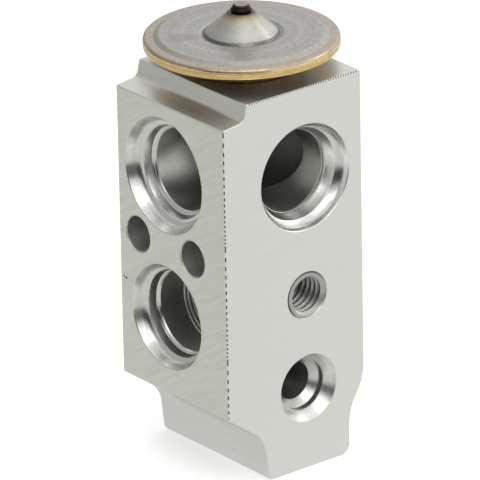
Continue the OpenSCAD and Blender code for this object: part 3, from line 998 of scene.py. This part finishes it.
@dataclass
class ValveBlock:
    """The extruded and machined block with its ports.

    Attributes:
        left: X of the evaporator face.
        right: X of the right face.
        front: Y of the hose face.
        back: Y of the back face.
        height: Z of the top.
        shoulder: X of the step's wall at the top, and Z of the shoulder at the evaporator face.
        undercut: Z at which the evaporator face ends.
        foot: X of the base's left and right border.
        flank: Z at which the right face ends.
        edge: Size of the broken edges.
        suction: Z of the suction ports' axes.
        outlet: Z of the outlet port's axis.
        liquid: Z of the liquid inlet's axis.
        stud: Z of the stud hole's axis.
        bolts: Z of the bolt holes' axes.
        bolt_spacing: Distance between both bolt holes.
        seat: Z of the valve's seat.
    """

    left: float = LEFT_FACE
    right: float = 12.8
    front: float = HOSE_FACE
    back: float = 12.85
    height: float = BLOCK_TOP
    shoulder: Point = (-12.94, 69.0)
    undercut: float = 14.1
    foot: Point = (-9.26, 9.3)
    flank: float = 13.82
    edge: float = 0.16
    suction: float = 55.6
    outlet: float = 28.6
    liquid: float = 15.35
    stud: float = STUD_AXIS
    bolts: float = 42.1
    bolt_spacing: float = 15.4
    seat: float = 21.6

    def corners(self) -> list[Corner]:
        """The extrusion's corners as x, z and radius.

        Returns:
            The corners, from the shoulder downwards and round.
        """
        rise, lean, fall, draft = (slope_of(angle) for angle in (7.5, 14.0, 36.0, 6.6))
        step_w = self.shoulder[0] - self.left
        step_z = (self.shoulder[1] + rise * (step_w - lean * self.height)) / (1.0 - rise * lean)
        knee_z = (self.undercut + fall * (self.left - self.foot[0])) / (1.0 - fall * draft)
        flank_z = self.flank - (self.right - self.foot[1]) / slope_of(32.0)
        return [
            (self.left, self.shoulder[1], 0.25),
            (self.left, self.undercut, 0.25),
            (self.foot[0] - draft * knee_z, knee_z, 5.0),
            (self.foot[0], 0.0, 1.0),
            (self.foot[1], 0.0, 1.9),
            (self.foot[1], flank_z, 8.6),
            (self.right, self.flank, 8.6),
            (self.right, self.height, 0.25),
            (self.shoulder[0], self.height, 0.25),
            (self.shoulder[0] - lean * (self.height - step_z), step_z, 1.2),
        ]

    def blank(self) -> bmesh.types.BMesh:
        """The extrusion with its sawn edges broken.

        Returns:
            Its mesh, in metres.
        """
        bm = rounded_section(self.corners(), segments=10)
        bmesh.ops.translate(bm, vec=(0.0, self.front * MM, 0.0), verts=bm.verts)
        pushed = bmesh.ops.extrude_face_region(bm, geom=list(bm.faces))
        moved = [v for v in pushed["geom"] if isinstance(v, bmesh.types.BMVert)]
        bmesh.ops.translate(bm, vec=(0.0, (self.back - self.front) * MM, 0.0), verts=moved)
        bmesh.ops.recalc_face_normals(bm, faces=bm.faces)
        rims = [e for e in bm.edges if abs(e.verts[0].co.y - e.verts[1].co.y) < MERGE]
        bmesh.ops.bevel(
            bm, geom=rims, offset=self.edge * MM, offset_type="OFFSET", affect="EDGES",
            segments=2, profile=0.5, clamp_overlap=True, material=-1,
        )
        return bm

    def _left_cutter(self, name: str, outline: list[Corner], y: float, z: float, **looks: Any) -> Cutter:
        """A tool path into the evaporator face."""
        return Cutter(name, outline, (self.left, y, z), Way.INTO_EVAPORATOR_FACE, **looks)

    def _front_cutter(self, name: str, outline: list[Corner], z: float, **looks: Any) -> Cutter:
        """A tool path into the hose face."""
        return Cutter(name, outline, (0.0, self.front, z), Way.INTO_HOSE_FACE, **looks)

    def port_cutters(self) -> list[Cutter]:
        """Both suction ports and the outlet port.

        Returns:
            Their tool paths.
        """
        inlet = PortShape(
            mouth=10.82, taper=(9.95, 1.75), cove=(1.3, 0.8), lip=(8.2, 4.0),
            bore=7.5, depth=8.6 - self.left,
        )
        outlet = PortShape(
            mouth=9.82, taper=(9.12, 1.46), cove=(0.97, 0.95), lip=(7.85, 3.96),
            bore=7.35, depth=9.7,
        )
        hose = PortShape(
            mouth=9.98, taper=(9.54, 0.93), cove=(1.0, 1.22), lip=(7.85, 3.9),
            bore=7.49, depth=-self.front, drop=0.7,
        )
        return [
            self._left_cutter("inlet_port", inlet.profile(), 0.0, self.suction, steps=192, bright=4.47),
            self._left_cutter("outlet_port", outlet.profile(), 0.0, self.outlet, steps=192, bright=4.43),
            self._front_cutter("hose_port", hose.profile(), self.suction, steps=192, bright=4.62),
        ]

    def way_cutters(self) -> list[Cutter]:
        """The liquid inlet and the drillings between the outlet port and the ball.

        Returns:
            Their tool paths.
        """
        axis = -self.front
        liquid = sharp_corners([
            (0.0, -CLEAR), (6.37, -CLEAR), (6.37, 0.0), (6.25, 0.12), (4.85, 1.65), (4.75, 1.85),
            (4.75, 3.0), (3.55, 4.4), (3.55, axis - 5.6), (3.35, axis - 5.4), (3.35, axis - 2.55),
            (0.0, axis - 2.55),
        ])
        way = Shoulder(radius=6.1, start=8.0, end=13.3, wide=7.35, floor=9.7)
        drilling = drilled(4.6, 1.0, 3.4 - self.left)
        return [
            # Tones below 1 paint deeper shade into the liquid port and the outlet way.
            self._front_cutter(
                "liquid_port", liquid, self.liquid,
                steps=144, bright=4.3, roughness=(0.26, 0.36), tone=0.85,
            ),
            self._left_cutter("outlet_way", way.profile(), 0.0, self.outlet, steps=144, tone=0.85),
            self._left_cutter("outlet_drilling", drilling, 0.0, self.outlet, steps=96),
        ]

    def hole_cutters(self) -> list[Cutter]:
        """The stud hole and both bolt holes.

        Returns:
            Their tool paths.
        """
        stud = stepped([Bore(4.48, 0.0), Bore(4.0, 10.2, 0.48)], tip=2.4)
        bolt = stepped([Bore(3.55, 0.0), Bore(3.3, 30.75, 0.25), Bore(3.55, 32.0, 0.25)])
        looks = {"steps": 96, "bright": 20.0, "roughness": (0.4, 0.54)}
        half = self.bolt_spacing / 2.0
        return [
            # A tone of 0.75 paints deeper shade into the stud hole.
            self._front_cutter("stud_hole", stud, self.stud, steps=96, tone=0.75),
            self._left_cutter("bolt_hole_near", bolt, -half, self.bolts, **looks),
            self._left_cutter("bolt_hole_far", bolt, half, self.bolts, **looks),
        ]

    def upright_cutter(self) -> Cutter:
        """The stepped drillings on the valve's axis, from the adjusting screw up to the power head."""
        outline = stepped([
            Bore(6.65, 0.0),
            Bore(6.05, 5.91, 0.6),
            Bore(5.1, 19.92, 0.4),
            Bore(2.3, 28.6, self.seat - 19.92),
            Bore(3.4, 35.2),
            Bore(1.45, 45.4),
            Bore(3.2, self.suction),
            Bore(6.6, 65.8),
            Bore(9.05, 70.98),
            Bore(10.6, 74.0),
        ])
        return Cutter("upright_drillings", outline, AXIS, Way.UP, steps=128)

    def cutters(self) -> list[Cutter]:
        """Everything that is taken out of the extrusion, in the order of the cuts."""
        return [*self.port_cutters(), *self.way_cutters(), *self.hole_cutters(), self.upright_cutter()]

    def build(self) -> bpy.types.Object:
        """Cuts the ports out of the blank and dresses every face.

        Returns:
            The block.
        """
        body = loose_object(self.blank(), "block_shell")
        for finish in BLOCK_FINISHES:
            body.data.materials.append(finish.build())
        tools = [cutter.build() for cutter in self.cutters()]
        for tool in tools:
            cut = body.modifiers.new(tool.name, "BOOLEAN")
            cut.operation = "DIFFERENCE"
            cut.solver = "EXACT"
            cut.material_mode = "TRANSFER"
            cut.object = tool
        bpy.context.view_layer.update()
        solid = body.evaluated_get(bpy.context.evaluated_depsgraph_get())
        mesh = bpy.data.meshes.new_from_object(solid)
        materials = list(mesh.materials)
        bm = bmesh.new()
        bm.from_mesh(mesh)
        bmesh.ops.remove_doubles(bm, verts=bm.verts, dist=MERGE)
        for old in (body, *tools):
            bpy.data.objects.remove(old)
        bpy.data.meshes.remove(mesh)
        piece = new_piece(bm, "machined_block", Body.BLOCK, sharp=20.0)
        for material in materials:
            piece.data.materials.append(material)
        self._name_faces(piece.data, len(BLOCK_FINISHES))
        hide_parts("valve_body")
        return piece

    def _name_faces(self, mesh: bpy.types.Mesh, plain: int) -> None:
        """Gives each outer face its own finish, and leaves what the cutters left.

        Args:
            mesh: The block's mesh.
            plain: How many materials belong to outer faces.
        """
        for face in mesh.polygons:
            if face.material_index >= plain:
                continue
            normal = face.normal
            if abs(normal.y) > 0.2:
                face.material_index = BlockFace.SAWN.value
            elif normal.x < -0.9 and face.center.x < (self.left + 0.1) * MM:
                face.material_index = BlockFace.MILLED.value
            else:
                face.material_index = BlockFace.DRAWN.value


@dataclass
class StudThread:
    """The ridges of the M8 thread in the hose face.

    Attributes:
        major: Radius of the hole that the ridges stand in.
        minor: Radius of the ridges' crests.
        pitch: Pitch of the thread.
        first: Depth of the first ridge.
        last: Depth of the last ridge.
        height: Z of the hole's axis.
        face: Y of the hose face.
        steps: Steps of each turn.
        root: How far a ridge's foot lies inside the wall.
        halves: Half the width of foot and crest, as shares of the pitch.
        ends: Depths at which the helix is cut off square.
    """

    major: float = 4.0
    minor: float = 3.36
    pitch: float = 1.25
    first: float = 0.55
    last: float = 9.9
    height: float = STUD_AXIS
    face: float = HOSE_FACE
    steps: int = 64
    root: float = 0.1
    halves: Point = (0.45, 0.09)
    ends: Point = (0.05, 10.1)

    def build(self) -> bpy.types.Object:
        """Sweeps one ridge along the thread's helix.

        Returns:
            The thread.
        """
        foot, crest = (self.pitch * half for half in self.halves)
        start = self.first - self.pitch
        wall = self.major + self.root
        outline = [
            (wall, start - foot), (self.minor, start - crest),
            (self.minor, start + crest), (wall, start + foot),
        ]
        turns = (self.last - self.first) / self.pitch + 1.0
        steps = int(turns * self.steps)
        bm = rounded_section(sharp_corners(outline))
        profile = list(bm.faces)
        bmesh.ops.spin(
            bm, geom=profile, cent=AXIS, axis=UPWARDS, angle=TAU * steps / self.steps, steps=steps,
            dvec=(0.0, 0.0, self.pitch / self.steps * MM), use_merge=False, use_duplicate=False,
        )
        bmesh.ops.recalc_face_normals(bm, faces=bm.faces)
        for plane, way in zip(self.ends, (-1.0, 1.0)):
            self._trim(bm, plane, way)
        at = (0.0, self.face, self.height)
        in_place = Matrix.Translation(Vector(at) * MM) @ Way.INTO_HOSE_FACE.turn()
        bmesh.ops.transform(bm, matrix=in_place, verts=bm.verts)
        piece = new_piece(bm, "stud_thread", Body.BLOCK, sharp=20.0)
        # A tone of 0.66 paints deep shade into the thread.
        piece.data.materials.append(bore_finish("cut_thread", at, Way.INTO_HOSE_FACE, tone=0.66).build())
        return piece

    @staticmethod
    def _trim(bm: bmesh.types.BMesh, depth: float, way: float) -> None:
        """Cuts the helix off square at a depth and closes it.

        Args:
            bm: The ridge.
            depth: Depth of the cut, in millimetres.
            way: -1 takes away what is nearer the mouth, 1 what is deeper.
        """
        cut = bmesh.ops.bisect_plane(
            bm, geom=[*bm.verts, *bm.edges, *bm.faces], dist=MERGE, plane_co=(0.0, 0.0, depth * MM),
            plane_no=(0.0, 0.0, way), clear_outer=True,
        )
        rims = [e for e in cut["geom_cut"] if isinstance(e, bmesh.types.BMEdge)]
        bmesh.ops.holes_fill(bm, edges=rims, sides=0)


class HeadFace(Enum):
    """The finishes of the lid, in the order of their material slots."""

    PLATE = 0
    RIM = 1
    CONE = 2


@dataclass
class PowerHead:
    """The welded power head: lid, lower part, weld, charge plug.

    Attributes:
        rim: Radius of the rim.
        top: Z of the block's top.
        clamp: Z of the seam between both flanges.
        gap: Half the distance between both flanges.
        sheet: Thickness of the lid.
        edge: Thickness of the lower flange at the rim.
        rise: How far the plate stands over the lid's flange.
        cone: How far the cone stands over the plate.
        cone_foot: Radius of the cone's foot.
        tint: Radius from which the lid's flange has the rim's finish.
        bead: Half the height of the weld bead.
        collar: Radius of the neck over the block.
        dish_slope: How fast the dish widens with its height.
        bead_noise: Waves for each metre of the bead's unevenness, and its size.
        plug_noise: Waves for each metre of the plug's unevenness, and its share of the radius.
        steps: Steps of its turn.
    """

    rim: float = 17.45
    top: float = BLOCK_TOP
    clamp: float = 76.6
    gap: float = 0.06
    sheet: float = 0.88
    edge: float = 1.16
    rise: float = 0.5
    cone: float = 3.95
    cone_foot: float = 6.5
    tint: float = 16.2
    bead: float = 0.17
    collar: float = 11.2
    dish_slope: float = 1.25
    bead_noise: Point = (900.0, 0.03)
    plug_noise: Point = (700.0, 0.02)
    steps: int = 256

    def lid(self) -> bpy.types.Object:
        """The upper stamping, with its raised plate, bead and cone.

        Returns:
            The lid.
        """
        low = self.clamp + self.gap
        flange = low + self.sheet
        plate = flange + self.rise
        rim = [
            (14.0, low, 0.0), (self.rim - 0.05, low, 0.0), (self.rim, low + 0.06, 0.0),
            (self.rim, low + 0.3, 0.2), (self.rim - 0.16, flange, 0.46), (15.6, flange, 0.3),
        ]
        bead = lifted(plate, (14.7, 0.0, 0.5), (7.5, 0.0, 0.15), (7.1, -0.25, 0.12), (6.8, -0.25, 0.04))
        cone = lifted(
            plate, (self.cone_foot, 0.16, 0.04), (2.3, 3.9, 0.35), (1.7, self.cone, 0.0),
            (1.0, self.cone, 0.0),
        )
        inside = lifted(
            plate, (1.0, 3.1, 0.0), (1.4, 3.1, 0.0), (5.5, -0.72, 0.0), (14.0, -self.sheet, 0.0),
        )
        bm = rounded_section([*rim, *bead, *cone, *inside], segments=6)
        piece = new_piece(spun(bm, self.steps), "lid_stamping", Body.BLOCK, sharp=30.0)
        for finish in (LID, RIM, CONE):
            piece.data.materials.append(finish.build())
        for face in piece.data.polygons:
            face.material_index = self._lid_face(face.center / MM, flange).value
        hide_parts("head_lid")
        return piece

    def _lid_face(self, place: Vector, flange: float) -> HeadFace:
        """Tells which finish a face of the lid has.

        Args:
            place: The face's middle, in millimetres.
            flange: Z of the flange's upper side.

        Returns:
            The finish.
        """
        radius = place.xy.length
        if radius > self.tint and place.z < flange + 0.02:
            return HeadFace.RIM
        return HeadFace.CONE if radius < self.cone_foot else HeadFace.PLATE

    def receiver(self) -> bpy.types.Object:
        """The lower part, with flange, dish, neck and threaded boss.

        Returns:
            The lower part.
        """
        high = self.clamp - self.gap
        flange = high - self.edge
        neck = self.top + 1.3
        seat = self.top + 0.02
        web = neck - 0.22
        hollow = self.collar - 1.0
        dish = self.collar + self.dish_slope * (flange - neck)
        boss = [(6.6, 66.1, 0.0), (8.5, 66.1, 0.0), (9.0, 66.6, 0.0), (9.0, seat, 0.0)]
        outside = [
            (self.collar, seat, 0.1), (self.collar, neck, 0.3), (dish, flange, 0.4),
            (self.rim, flange, 0.72), (self.rim, high - 0.08, 0.0), (self.rim - 0.05, high, 0.0),
        ]
        inside = [
            (hollow + self.dish_slope * (high - neck), high, 0.0), (hollow, neck, 0.0),
            (hollow, web, 0.0), (6.6, web, 0.0),
        ]
        bm = rounded_section([*boss, *outside, *inside], segments=6)
        piece = new_piece(spun(bm, self.steps), "receiver_stamping", Body.BLOCK, sharp=30.0)
        # The rim finish paints the dish and the neck near-black, as the shade under the rim.
        piece.data.materials.append(RIM.build())
        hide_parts("head_receiver")
        return piece

    def weld(self) -> bpy.types.Object:
        """The narrow weld bead that closes the seam between both flanges, part of the rim.

        Returns:
            The bead.
        """
        inner, outer = self.rim - 0.3, self.rim - 0.02
        low, high = self.clamp - self.bead, self.clamp + self.bead
        section = [(inner, low, 0.0), (outer, low, 0.1), (outer, high, 0.1), (inner, high, 0.0)]
        bm = spun(rounded_section(section, segments=4), self.steps)
        waves, size = self.bead_noise
        for vert in bm.verts:
            swell = noise.noise(vert.co * waves) * size * MM
            vert.co.xy += vert.co.xy.normalized() * min(0.0, swell)
        piece = new_piece(bm, "rim_weld", Body.BLOCK, sharp=40.0)
        piece.data.materials.append(RIM.build())
        return piece

    def plug(self) -> bpy.types.Object:
        """The charge plug, welded dark on the cone's top.

        Returns:
            The plug.
        """
        seat = self.clamp + self.gap + self.sheet + self.rise + self.cone
        section = lifted(
            seat, (0.0, -0.85, 0.0), (0.97, -0.85, 0.0), (0.97, 0.02, 0.0), (1.88, 0.02, 0.2),
            (1.94, 0.46, 0.35), (1.58, 0.8, 0.3), (1.48, 1.38, 0.5), (0.55, 1.35, 0.1), (0.0, 1.32, 0.0),
        )
        bm = spun(rounded_section(section, segments=6), steps=96)
        waves, size = self.plug_noise
        for vert in bm.verts:
            if vert.co.z > (seat + 0.03) * MM and vert.co.xy.length > 0.2 * MM:
                vert.co.xy *= 1.0 + size * noise.noise(vert.co * waves) - 0.015
        piece = new_piece(bm, "charge_plug_weld", Body.BLOCK, sharp=40.0)
        piece.data.materials.append(PLUG.build())
        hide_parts("charge_plug")
        return piece

    def build(self) -> None:
        """Makes the whole head."""
        self.lid()
        self.receiver()
        self.weld()
        self.plug()


LID = Tinted(
    "lid_steel", (0.6, 0.6, 0.56), (0.30, 0.29, 0.26), (0.24, 0.36), depth=0.008, pitch=0.22,
    # The dark stops at 6.4 and 6.85 mm are painted shade in the groove round the cone's foot.
    stops=(
        (6.4, (0.16, 0.15, 0.13)), (6.85, (0.20, 0.19, 0.17)), (7.1, (0.46, 0.455, 0.43)),
        (8.0, (0.56, 0.555, 0.53)), (14.4, (0.55, 0.54, 0.51)), (15.2, (0.53, 0.51, 0.47)),
        (16.4, (0.55, 0.51, 0.46)), (17.2, (0.56, 0.46, 0.32)),
    ),
    by_radius=True, ragged=0.12, mottled=0.55,
    stains=(((-10.1, 5.0, 78.04), 2.3), ((-8.14, 3.74, 78.04), 1.6)),
)
RIM = Tinted(
    "rim_tint_and_painted_light", (0.6, 0.5, 0.3), (0.34, 0.22, 0.09), (0.10, 0.20), depth=0.006, pitch=0.3,
    # The near-black stops below 75.3 mm are painted shade on the dish and neck under the rim; the gold is
    # weld heat tint; the pale stops at 76.78 and 76.98 mm are a painted highlight along the seam.
    stops=(
        (BLOCK_TOP, (0.016, 0.016, 0.015)), (75.3, (0.02, 0.018, 0.014)), (75.38, (0.34, 0.22, 0.08)),
        (75.55, (0.84, 0.59, 0.25)), (76.62, (0.80, 0.55, 0.23)), (76.78, (0.95, 0.84, 0.62)),
        (76.98, (0.90, 0.77, 0.52)), (77.2, (0.62, 0.49, 0.30)), (77.5, (0.56, 0.51, 0.44)),
    ),
    ragged=0.07, mottled=0.45,
)
CONE = Tinted(
    "cone_steel", (0.6, 0.6, 0.56), (0.40, 0.39, 0.35), (0.2, 0.32), depth=0.006, pitch=0.2,
    # The last stop, dark at 6.48 mm, is painted shade in the crease at the cone's foot.
    stops=(
        (1.6, (0.05, 0.032, 0.022)), (2.3, (0.12, 0.08, 0.05)), (2.75, (0.38, 0.33, 0.22)),
        (3.6, (0.58, 0.56, 0.48)), (6.25, (0.60, 0.60, 0.58)), (6.48, (0.26, 0.25, 0.22)),
    ),
    by_radius=True, ragged=0.22, mottled=0.4,
)
PLUG = Tinted(
    "plug_steel", (0.1, 0.08, 0.06), (0.02, 0.014, 0.01), (0.2, 0.34),
    depth=0.012, scale=1800.0, pitch=0.3,
    stops=(
        (81.9, (0.016, 0.010, 0.008)), (83.0, (0.030, 0.020, 0.015)), (83.24, (0.07, 0.055, 0.045)),
        (83.34, (0.42, 0.39, 0.35)),
    ),
    ragged=0.05, mottled=0.3,
)
SHAFT = Turned("shaft_aluminium", (0.74, 0.74, 0.71), (0.62, 0.62, 0.6), (0.2, 0.34), pitch=0.15)
ROD = Turned("rod_steel", (0.62, 0.63, 0.64), (0.5, 0.5, 0.51), (0.12, 0.22), depth=0.001)
BALL = Finish("ball_steel", (0.70, 0.71, 0.73), (0.62, 0.63, 0.65), (0.06, 0.12), depth=0.0005)
SPRING = Finish("spring_steel", (0.42, 0.42, 0.43), (0.26, 0.26, 0.27), (0.25, 0.4), depth=0.003)
BRASS = Turned("screw_brass", (0.72, 0.55, 0.26), (0.56, 0.41, 0.18), (0.22, 0.36))
SEAL = Finish(
    "seal_rubber", (0.012, 0.045, 0.025), (0.02, 0.06, 0.035), (0.42, 0.6), metallic=0.0, depth=0.006,
)
ROD_SEAL = Finish(
    "rod_seal_rubber", (0.012, 0.012, 0.012), (0.03, 0.03, 0.03), (0.42, 0.6), metallic=0.0, depth=0.006,
)

INNER_FINISHES: dict[str, Finish] = {
    "diaphragm": SPRING,
    "thrust_plate": ROD,
    "head_gasket": SEAL,
    "sensing_shaft": SHAFT,
    "push_rod": ROD,
    "rod_seal": ROD_SEAL,
    "seal_retainer": SPRING,
    "valve_ball": BALL,
    "ball_carrier": ROD,
    "damping_spring": SPRING,
    "adjusting_screw": BRASS,
    "adjuster_seal": SEAL,
}


@dataclass
class BiasSpring:
    """The coil spring, in two halves, lower and upper, which ride on no body.

    Attributes:
        radius: Radius of the coil, to the middle of the wire.
        wire: Radius of the wire.
        low: Z of the coil's lower end.
        high: Z of its upper end.
        turns: Turns of the whole coil.
        steps: Steps of each turn.
    """

    radius: float = 2.9
    wire: float = 0.4
    low: float = 9.83
    high: float = 15.19
    turns: float = 4.5
    steps: int = 40

    def _half(self, name: str, first: float) -> bpy.types.Object:
        """Sweeps the wire's circle along half of the coil.

        Args:
            name: The piece's name.
            first: Share of the coil at which the half starts.

        Returns:
            The half, which has no body yet.
        """
        rise = self.high - self.low
        steps = int(self.turns * self.steps / 2.0)
        bm = bmesh.new()
        section = bmesh.ops.create_circle(bm, cap_ends=True, radius=self.wire * MM, segments=14)
        upright = Matrix.Rotation(math.pi / 2.0, 4, "X")
        place = Matrix.Translation((self.radius * MM, 0.0, (self.low + rise * first) * MM)) @ upright
        turned = Matrix.Rotation(TAU * self.turns * first, 4, "Z")
        bmesh.ops.transform(bm, matrix=turned @ place, verts=section["verts"])
        bmesh.ops.spin(
            bm, geom=list(bm.faces), cent=AXIS, axis=UPWARDS, angle=TAU * self.turns / 2.0, steps=steps,
            dvec=(0.0, 0.0, rise / 2.0 * MM / steps), use_merge=False, use_duplicate=False,
        )
        bmesh.ops.recalc_face_normals(bm, faces=bm.faces)
        piece = loose_object(bm, name, sharp=60.0)
        piece.data.materials.append(SPRING.build())
        LOG.info("%s: %d faces, blended between two bodies", name, len(piece.data.polygons))
        return piece

    def build(self) -> None:
        """Makes both halves, which meet halfway up."""
        lower = self._half("bias_coil_lower", 0.0)
        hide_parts("bias_spring")
        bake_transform(lower)
        upper = self._half("bias_coil_upper", 0.5)
        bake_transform(upper)


@dataclass
class InnerParts:
    """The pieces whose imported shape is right, and which only need a finish.

    Attributes:
        nodes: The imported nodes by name.
    """

    nodes: dict[str, bpy.types.Object] = field(default_factory=dict)

    def dress(self) -> None:
        """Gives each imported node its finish."""
        for name, finish in INNER_FINISHES.items():
            mesh = self.nodes[name].data
            mesh.materials.clear()
            mesh.materials.append(finish.build())
            LOG.info("%s: dressed as %s", name, finish.name)


@dataclass
class Studio:
    """Floor, soft light, dark card that only reflections show, and the world.

    Attributes:
        floor_half: Half the floor's width, in metres.
        floor_drop: How far the floor lies under the base, in metres.
        floor_left: Tone of the floor behind the evaporator face, as reflections show it.
        floor_right: Tone of the floor in front of the hose face, as reflections show it.
        floor_far: Tone of the floor far off behind the evaporator face.
        floor_glow: What the camera sees added to the floor.
        rightwards: Shares of +X and -Y in the direction in which the floor's tone rises.
        sky_dim: Tone of the sky on its dimmer side, as reflections show it.
        sky_bright: Tone of the sky on its brighter side, as reflections show it.
        bright_way: Direction of the brighter side.
        aim: What the lamps look at, in metres.
    """

    floor_half: float = 3.0
    floor_drop: float = 0.00005
    floor_left: float = 0.69
    floor_right: float = 0.77
    floor_far: float = 0.36
    floor_glow: float = 0.45
    rightwards: Point = (0.623, 0.782)
    sky_dim: float = 0.44
    sky_bright: float = 1.04
    bright_way: Place = (0.7, -0.45, 0.55)
    aim: Place = (0.0, 0.0, 0.04)

    def floor(self) -> None:
        """The pale floor, whose reflection is darker on the evaporator side."""
        bm = bmesh.new()
        bmesh.ops.create_grid(bm, x_segments=1, y_segments=1, size=self.floor_half)
        bmesh.ops.translate(bm, vec=(0.0, 0.0, -self.floor_drop), verts=bm.verts)
        plate = loose_object(bm, "floor")
        material, graph = new_material("pale_floor")
        path = graph.node("ShaderNodeLightPath", {}, {})
        camera = Signal(graph, path.outputs["Is Camera Ray"])
        glow = graph.emission(WHITE, camera * self.floor_glow)
        matt = graph.node("ShaderNodeBsdfDiffuse", {}, {"Color": (0.86, 0.86, 0.86, 1.0)})
        seen = graph.node("ShaderNodeAddShader", {}, {0: glow, 1: matt.outputs[0]})
        x, y, _ = graph.split(graph.place())
        distance = (x * x + y * y).root() + 0.001
        side = (x * self.rightwards[0] - y * self.rightwards[1]) / distance
        left = distance.above(0.2, 0.8) * (self.floor_far - self.floor_left) + self.floor_left
        tone = left + (self.floor_right - left) * side.above(-0.8, 0.8)
        mirrored = graph.emission((1.0, 1.0, 0.98), tone)
        values = {0: path.outputs["Is Glossy Ray"], 1: seen.outputs[0], 2: mirrored}
        graph.surface(graph.node("ShaderNodeMixShader", {}, values))
        plate.data.materials.append(material)

    def card(
        self, name: str, reach: Point, heights: Point, distance: float, colour: Colour, glow: float,
    ) -> None:
        """An arched card round the valve that only reflections see, with soft borders.

        Args:
            name: Its name.
            reach: Direction of its middle and half its arc, in degrees; 0 is -Y and 90 is +X.
            heights: Height of its lower and upper border, in metres.
            distance: Distance from the valve, in metres.
            colour: Its colour.
            glow: Strength of its own light.
        """
        middle, half = (math.radians(angle) for angle in reach)
        towards = Vector((math.sin(middle), -math.cos(middle), 0.0))
        bm = bmesh.new()
        ends = [bm.verts.new(towards * distance + Vector((0.0, 0.0, height))) for height in heights]
        bm.edges.new(ends)
        bmesh.ops.rotate(bm, verts=ends, cent=AXIS, matrix=Matrix.Rotation(-half, 3, "Z"))
        bmesh.ops.spin(
            bm, geom=[*bm.verts, *bm.edges], cent=AXIS, axis=UPWARDS, angle=2.0 * half, steps=32,
            use_merge=False, use_duplicate=False,
        )
        plate = loose_object(bm, name)
        material, graph = new_material(name)
        x, y, z = graph.split(graph.place())
        facing = (x * towards.x + y * towards.y) / distance
        low, high = heights
        border = 0.2 * (high - low)
        cover = facing.above(math.cos(half), math.cos(half * 0.6)) * z.above(low, low + border)
        cover = cover * z.above(high, high - border)
        light = graph.emission(colour, glow)
        clear = graph.node("ShaderNodeBsdfTransparent", {}, {})
        graph.surface(graph.node("ShaderNodeMixShader", {}, {0: cover, 1: clear.outputs[0], 2: light}))
        plate.data.materials.append(material)
        plate.visible_camera = False
        plate.visible_diffuse = False
        plate.visible_shadow = False

    def lamp(self, name: str, place: Place, size: Point, power: float) -> None:
        """A soft area lamp that looks at the valve.

        Args:
            name: Its name.
            place: Where it stands, in metres.
            size: Its width and height, in metres.
            power: Its power, in watts.
        """
        data = bpy.data.lights.new(name, "AREA")
        data.shape = "RECTANGLE"
        data.size, data.size_y = size
        data.energy = power
        made = bpy.data.objects.new(name, data)
        made.location = place
        made.rotation_euler = (Vector(self.aim) - Vector(place)).to_track_quat("-Z", "Y").to_euler()
        bpy.context.scene.collection.objects.link(made)

    def world(self) -> None:
        """A pale sky: dimmer at the back left for light and reflections, white for the camera."""
        world = bpy.data.worlds.new("studio")
        bpy.context.scene.world = world
        world.use_nodes = True
        graph = Graph(world.node_tree)
        way = graph.node("ShaderNodeTexCoord", {}, {}).outputs["Generated"]
        side = graph.along(way, self.bright_way).above(-0.3, 0.75)
        tone = side * (self.sky_bright - self.sky_dim) + self.sky_dim
        path = graph.node("ShaderNodeLightPath", {}, {})
        tone = tone + (1.0 - tone) * Signal(graph, path.outputs["Is Camera Ray"])
        sky = graph.node("ShaderNodeBackground", {}, {"Color": _rgba(WHITE), "Strength": tone})
        graph.node("ShaderNodeOutputWorld", {}, {0: sky.outputs[0]})

    def build(self) -> None:
        """Sets up the whole studio."""
        self.floor()
        self.world()
        self.lamp("key", (-0.35, -0.9, 1.1), size=(0.7, 0.7), power=3.0)
        self.lamp("side", (1.1, -0.5, 0.6), size=(0.6, 0.9), power=1.5)
        self.card(
            "camera_side", reach=(-47.0, 46.0), heights=(-0.02, 0.13), distance=0.24,
            colour=(0.012, 0.014, 0.024), glow=1.0,
        )
        self.card(
            "softbox", reach=(-38.5, 50.0), heights=(0.17, 0.36), distance=0.24, colour=WHITE, glow=1.6,
        )


@dataclass
class PhotoCamera:
    """The camera of the photograph, fitted to the block's edges and the head's rim.

    Attributes:
        place: Where it stands, in millimetres.
        target: What the middle of the frame shows, in millimetres.
        roll: Its roll, in degrees.
        focal: Focal length, in pixels of the photograph.
        frame: Width of the photograph, in pixels.
        sensor: Width of the sensor, in millimetres.
        clip: Nearest and farthest distance that it shows, in metres.
    """

    place: Place = (-750.86, -941.49, 539.81)
    target: Place = (-3.0, -2.2, 39.88)
    roll: float = -1.129
    focal: float = 7335.3
    frame: float = 480.0
    sensor: float = 36.0
    clip: Point = (0.05, 20.0)

    def build(self) -> None:
        """Makes the camera and gives it to the scene."""
        data = bpy.data.cameras.new("photo_camera")
        data.sensor_width = self.sensor
        data.lens = self.focal * self.sensor / self.frame
        data.clip_start, data.clip_end = self.clip
        camera = bpy.data.objects.new("photo_camera", data)
        back = (Vector(self.place) - Vector(self.target)).normalized()
        level = Vector((-back.y, back.x, 0.0)).normalized()
        upright = back.cross(level)
        turn = math.radians(self.roll)
        right = level * math.cos(turn) + upright * math.sin(turn)
        above = upright * math.cos(turn) - level * math.sin(turn)
        basis = Matrix((right, above, back)).transposed().to_4x4()
        camera.matrix_world = Matrix.Translation(Vector(self.place) * MM) @ basis
        bpy.context.scene.collection.objects.link(camera)
        bpy.context.scene.camera = camera


def main() -> None:
    """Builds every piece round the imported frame."""
    logging.basicConfig(level=logging.INFO, format="%(name)s: %(message)s")
    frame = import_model()
    PhotoCamera().build()
    ValveBlock().build()
    StudThread().build()
    PowerHead().build()
    BiasSpring().build()
    InnerParts(frame["nodes"]).dress()
    Studio().build()
    bpy.context.scene.view_settings.view_transform = "Standard"


if __name__ == "__main__":
    main()
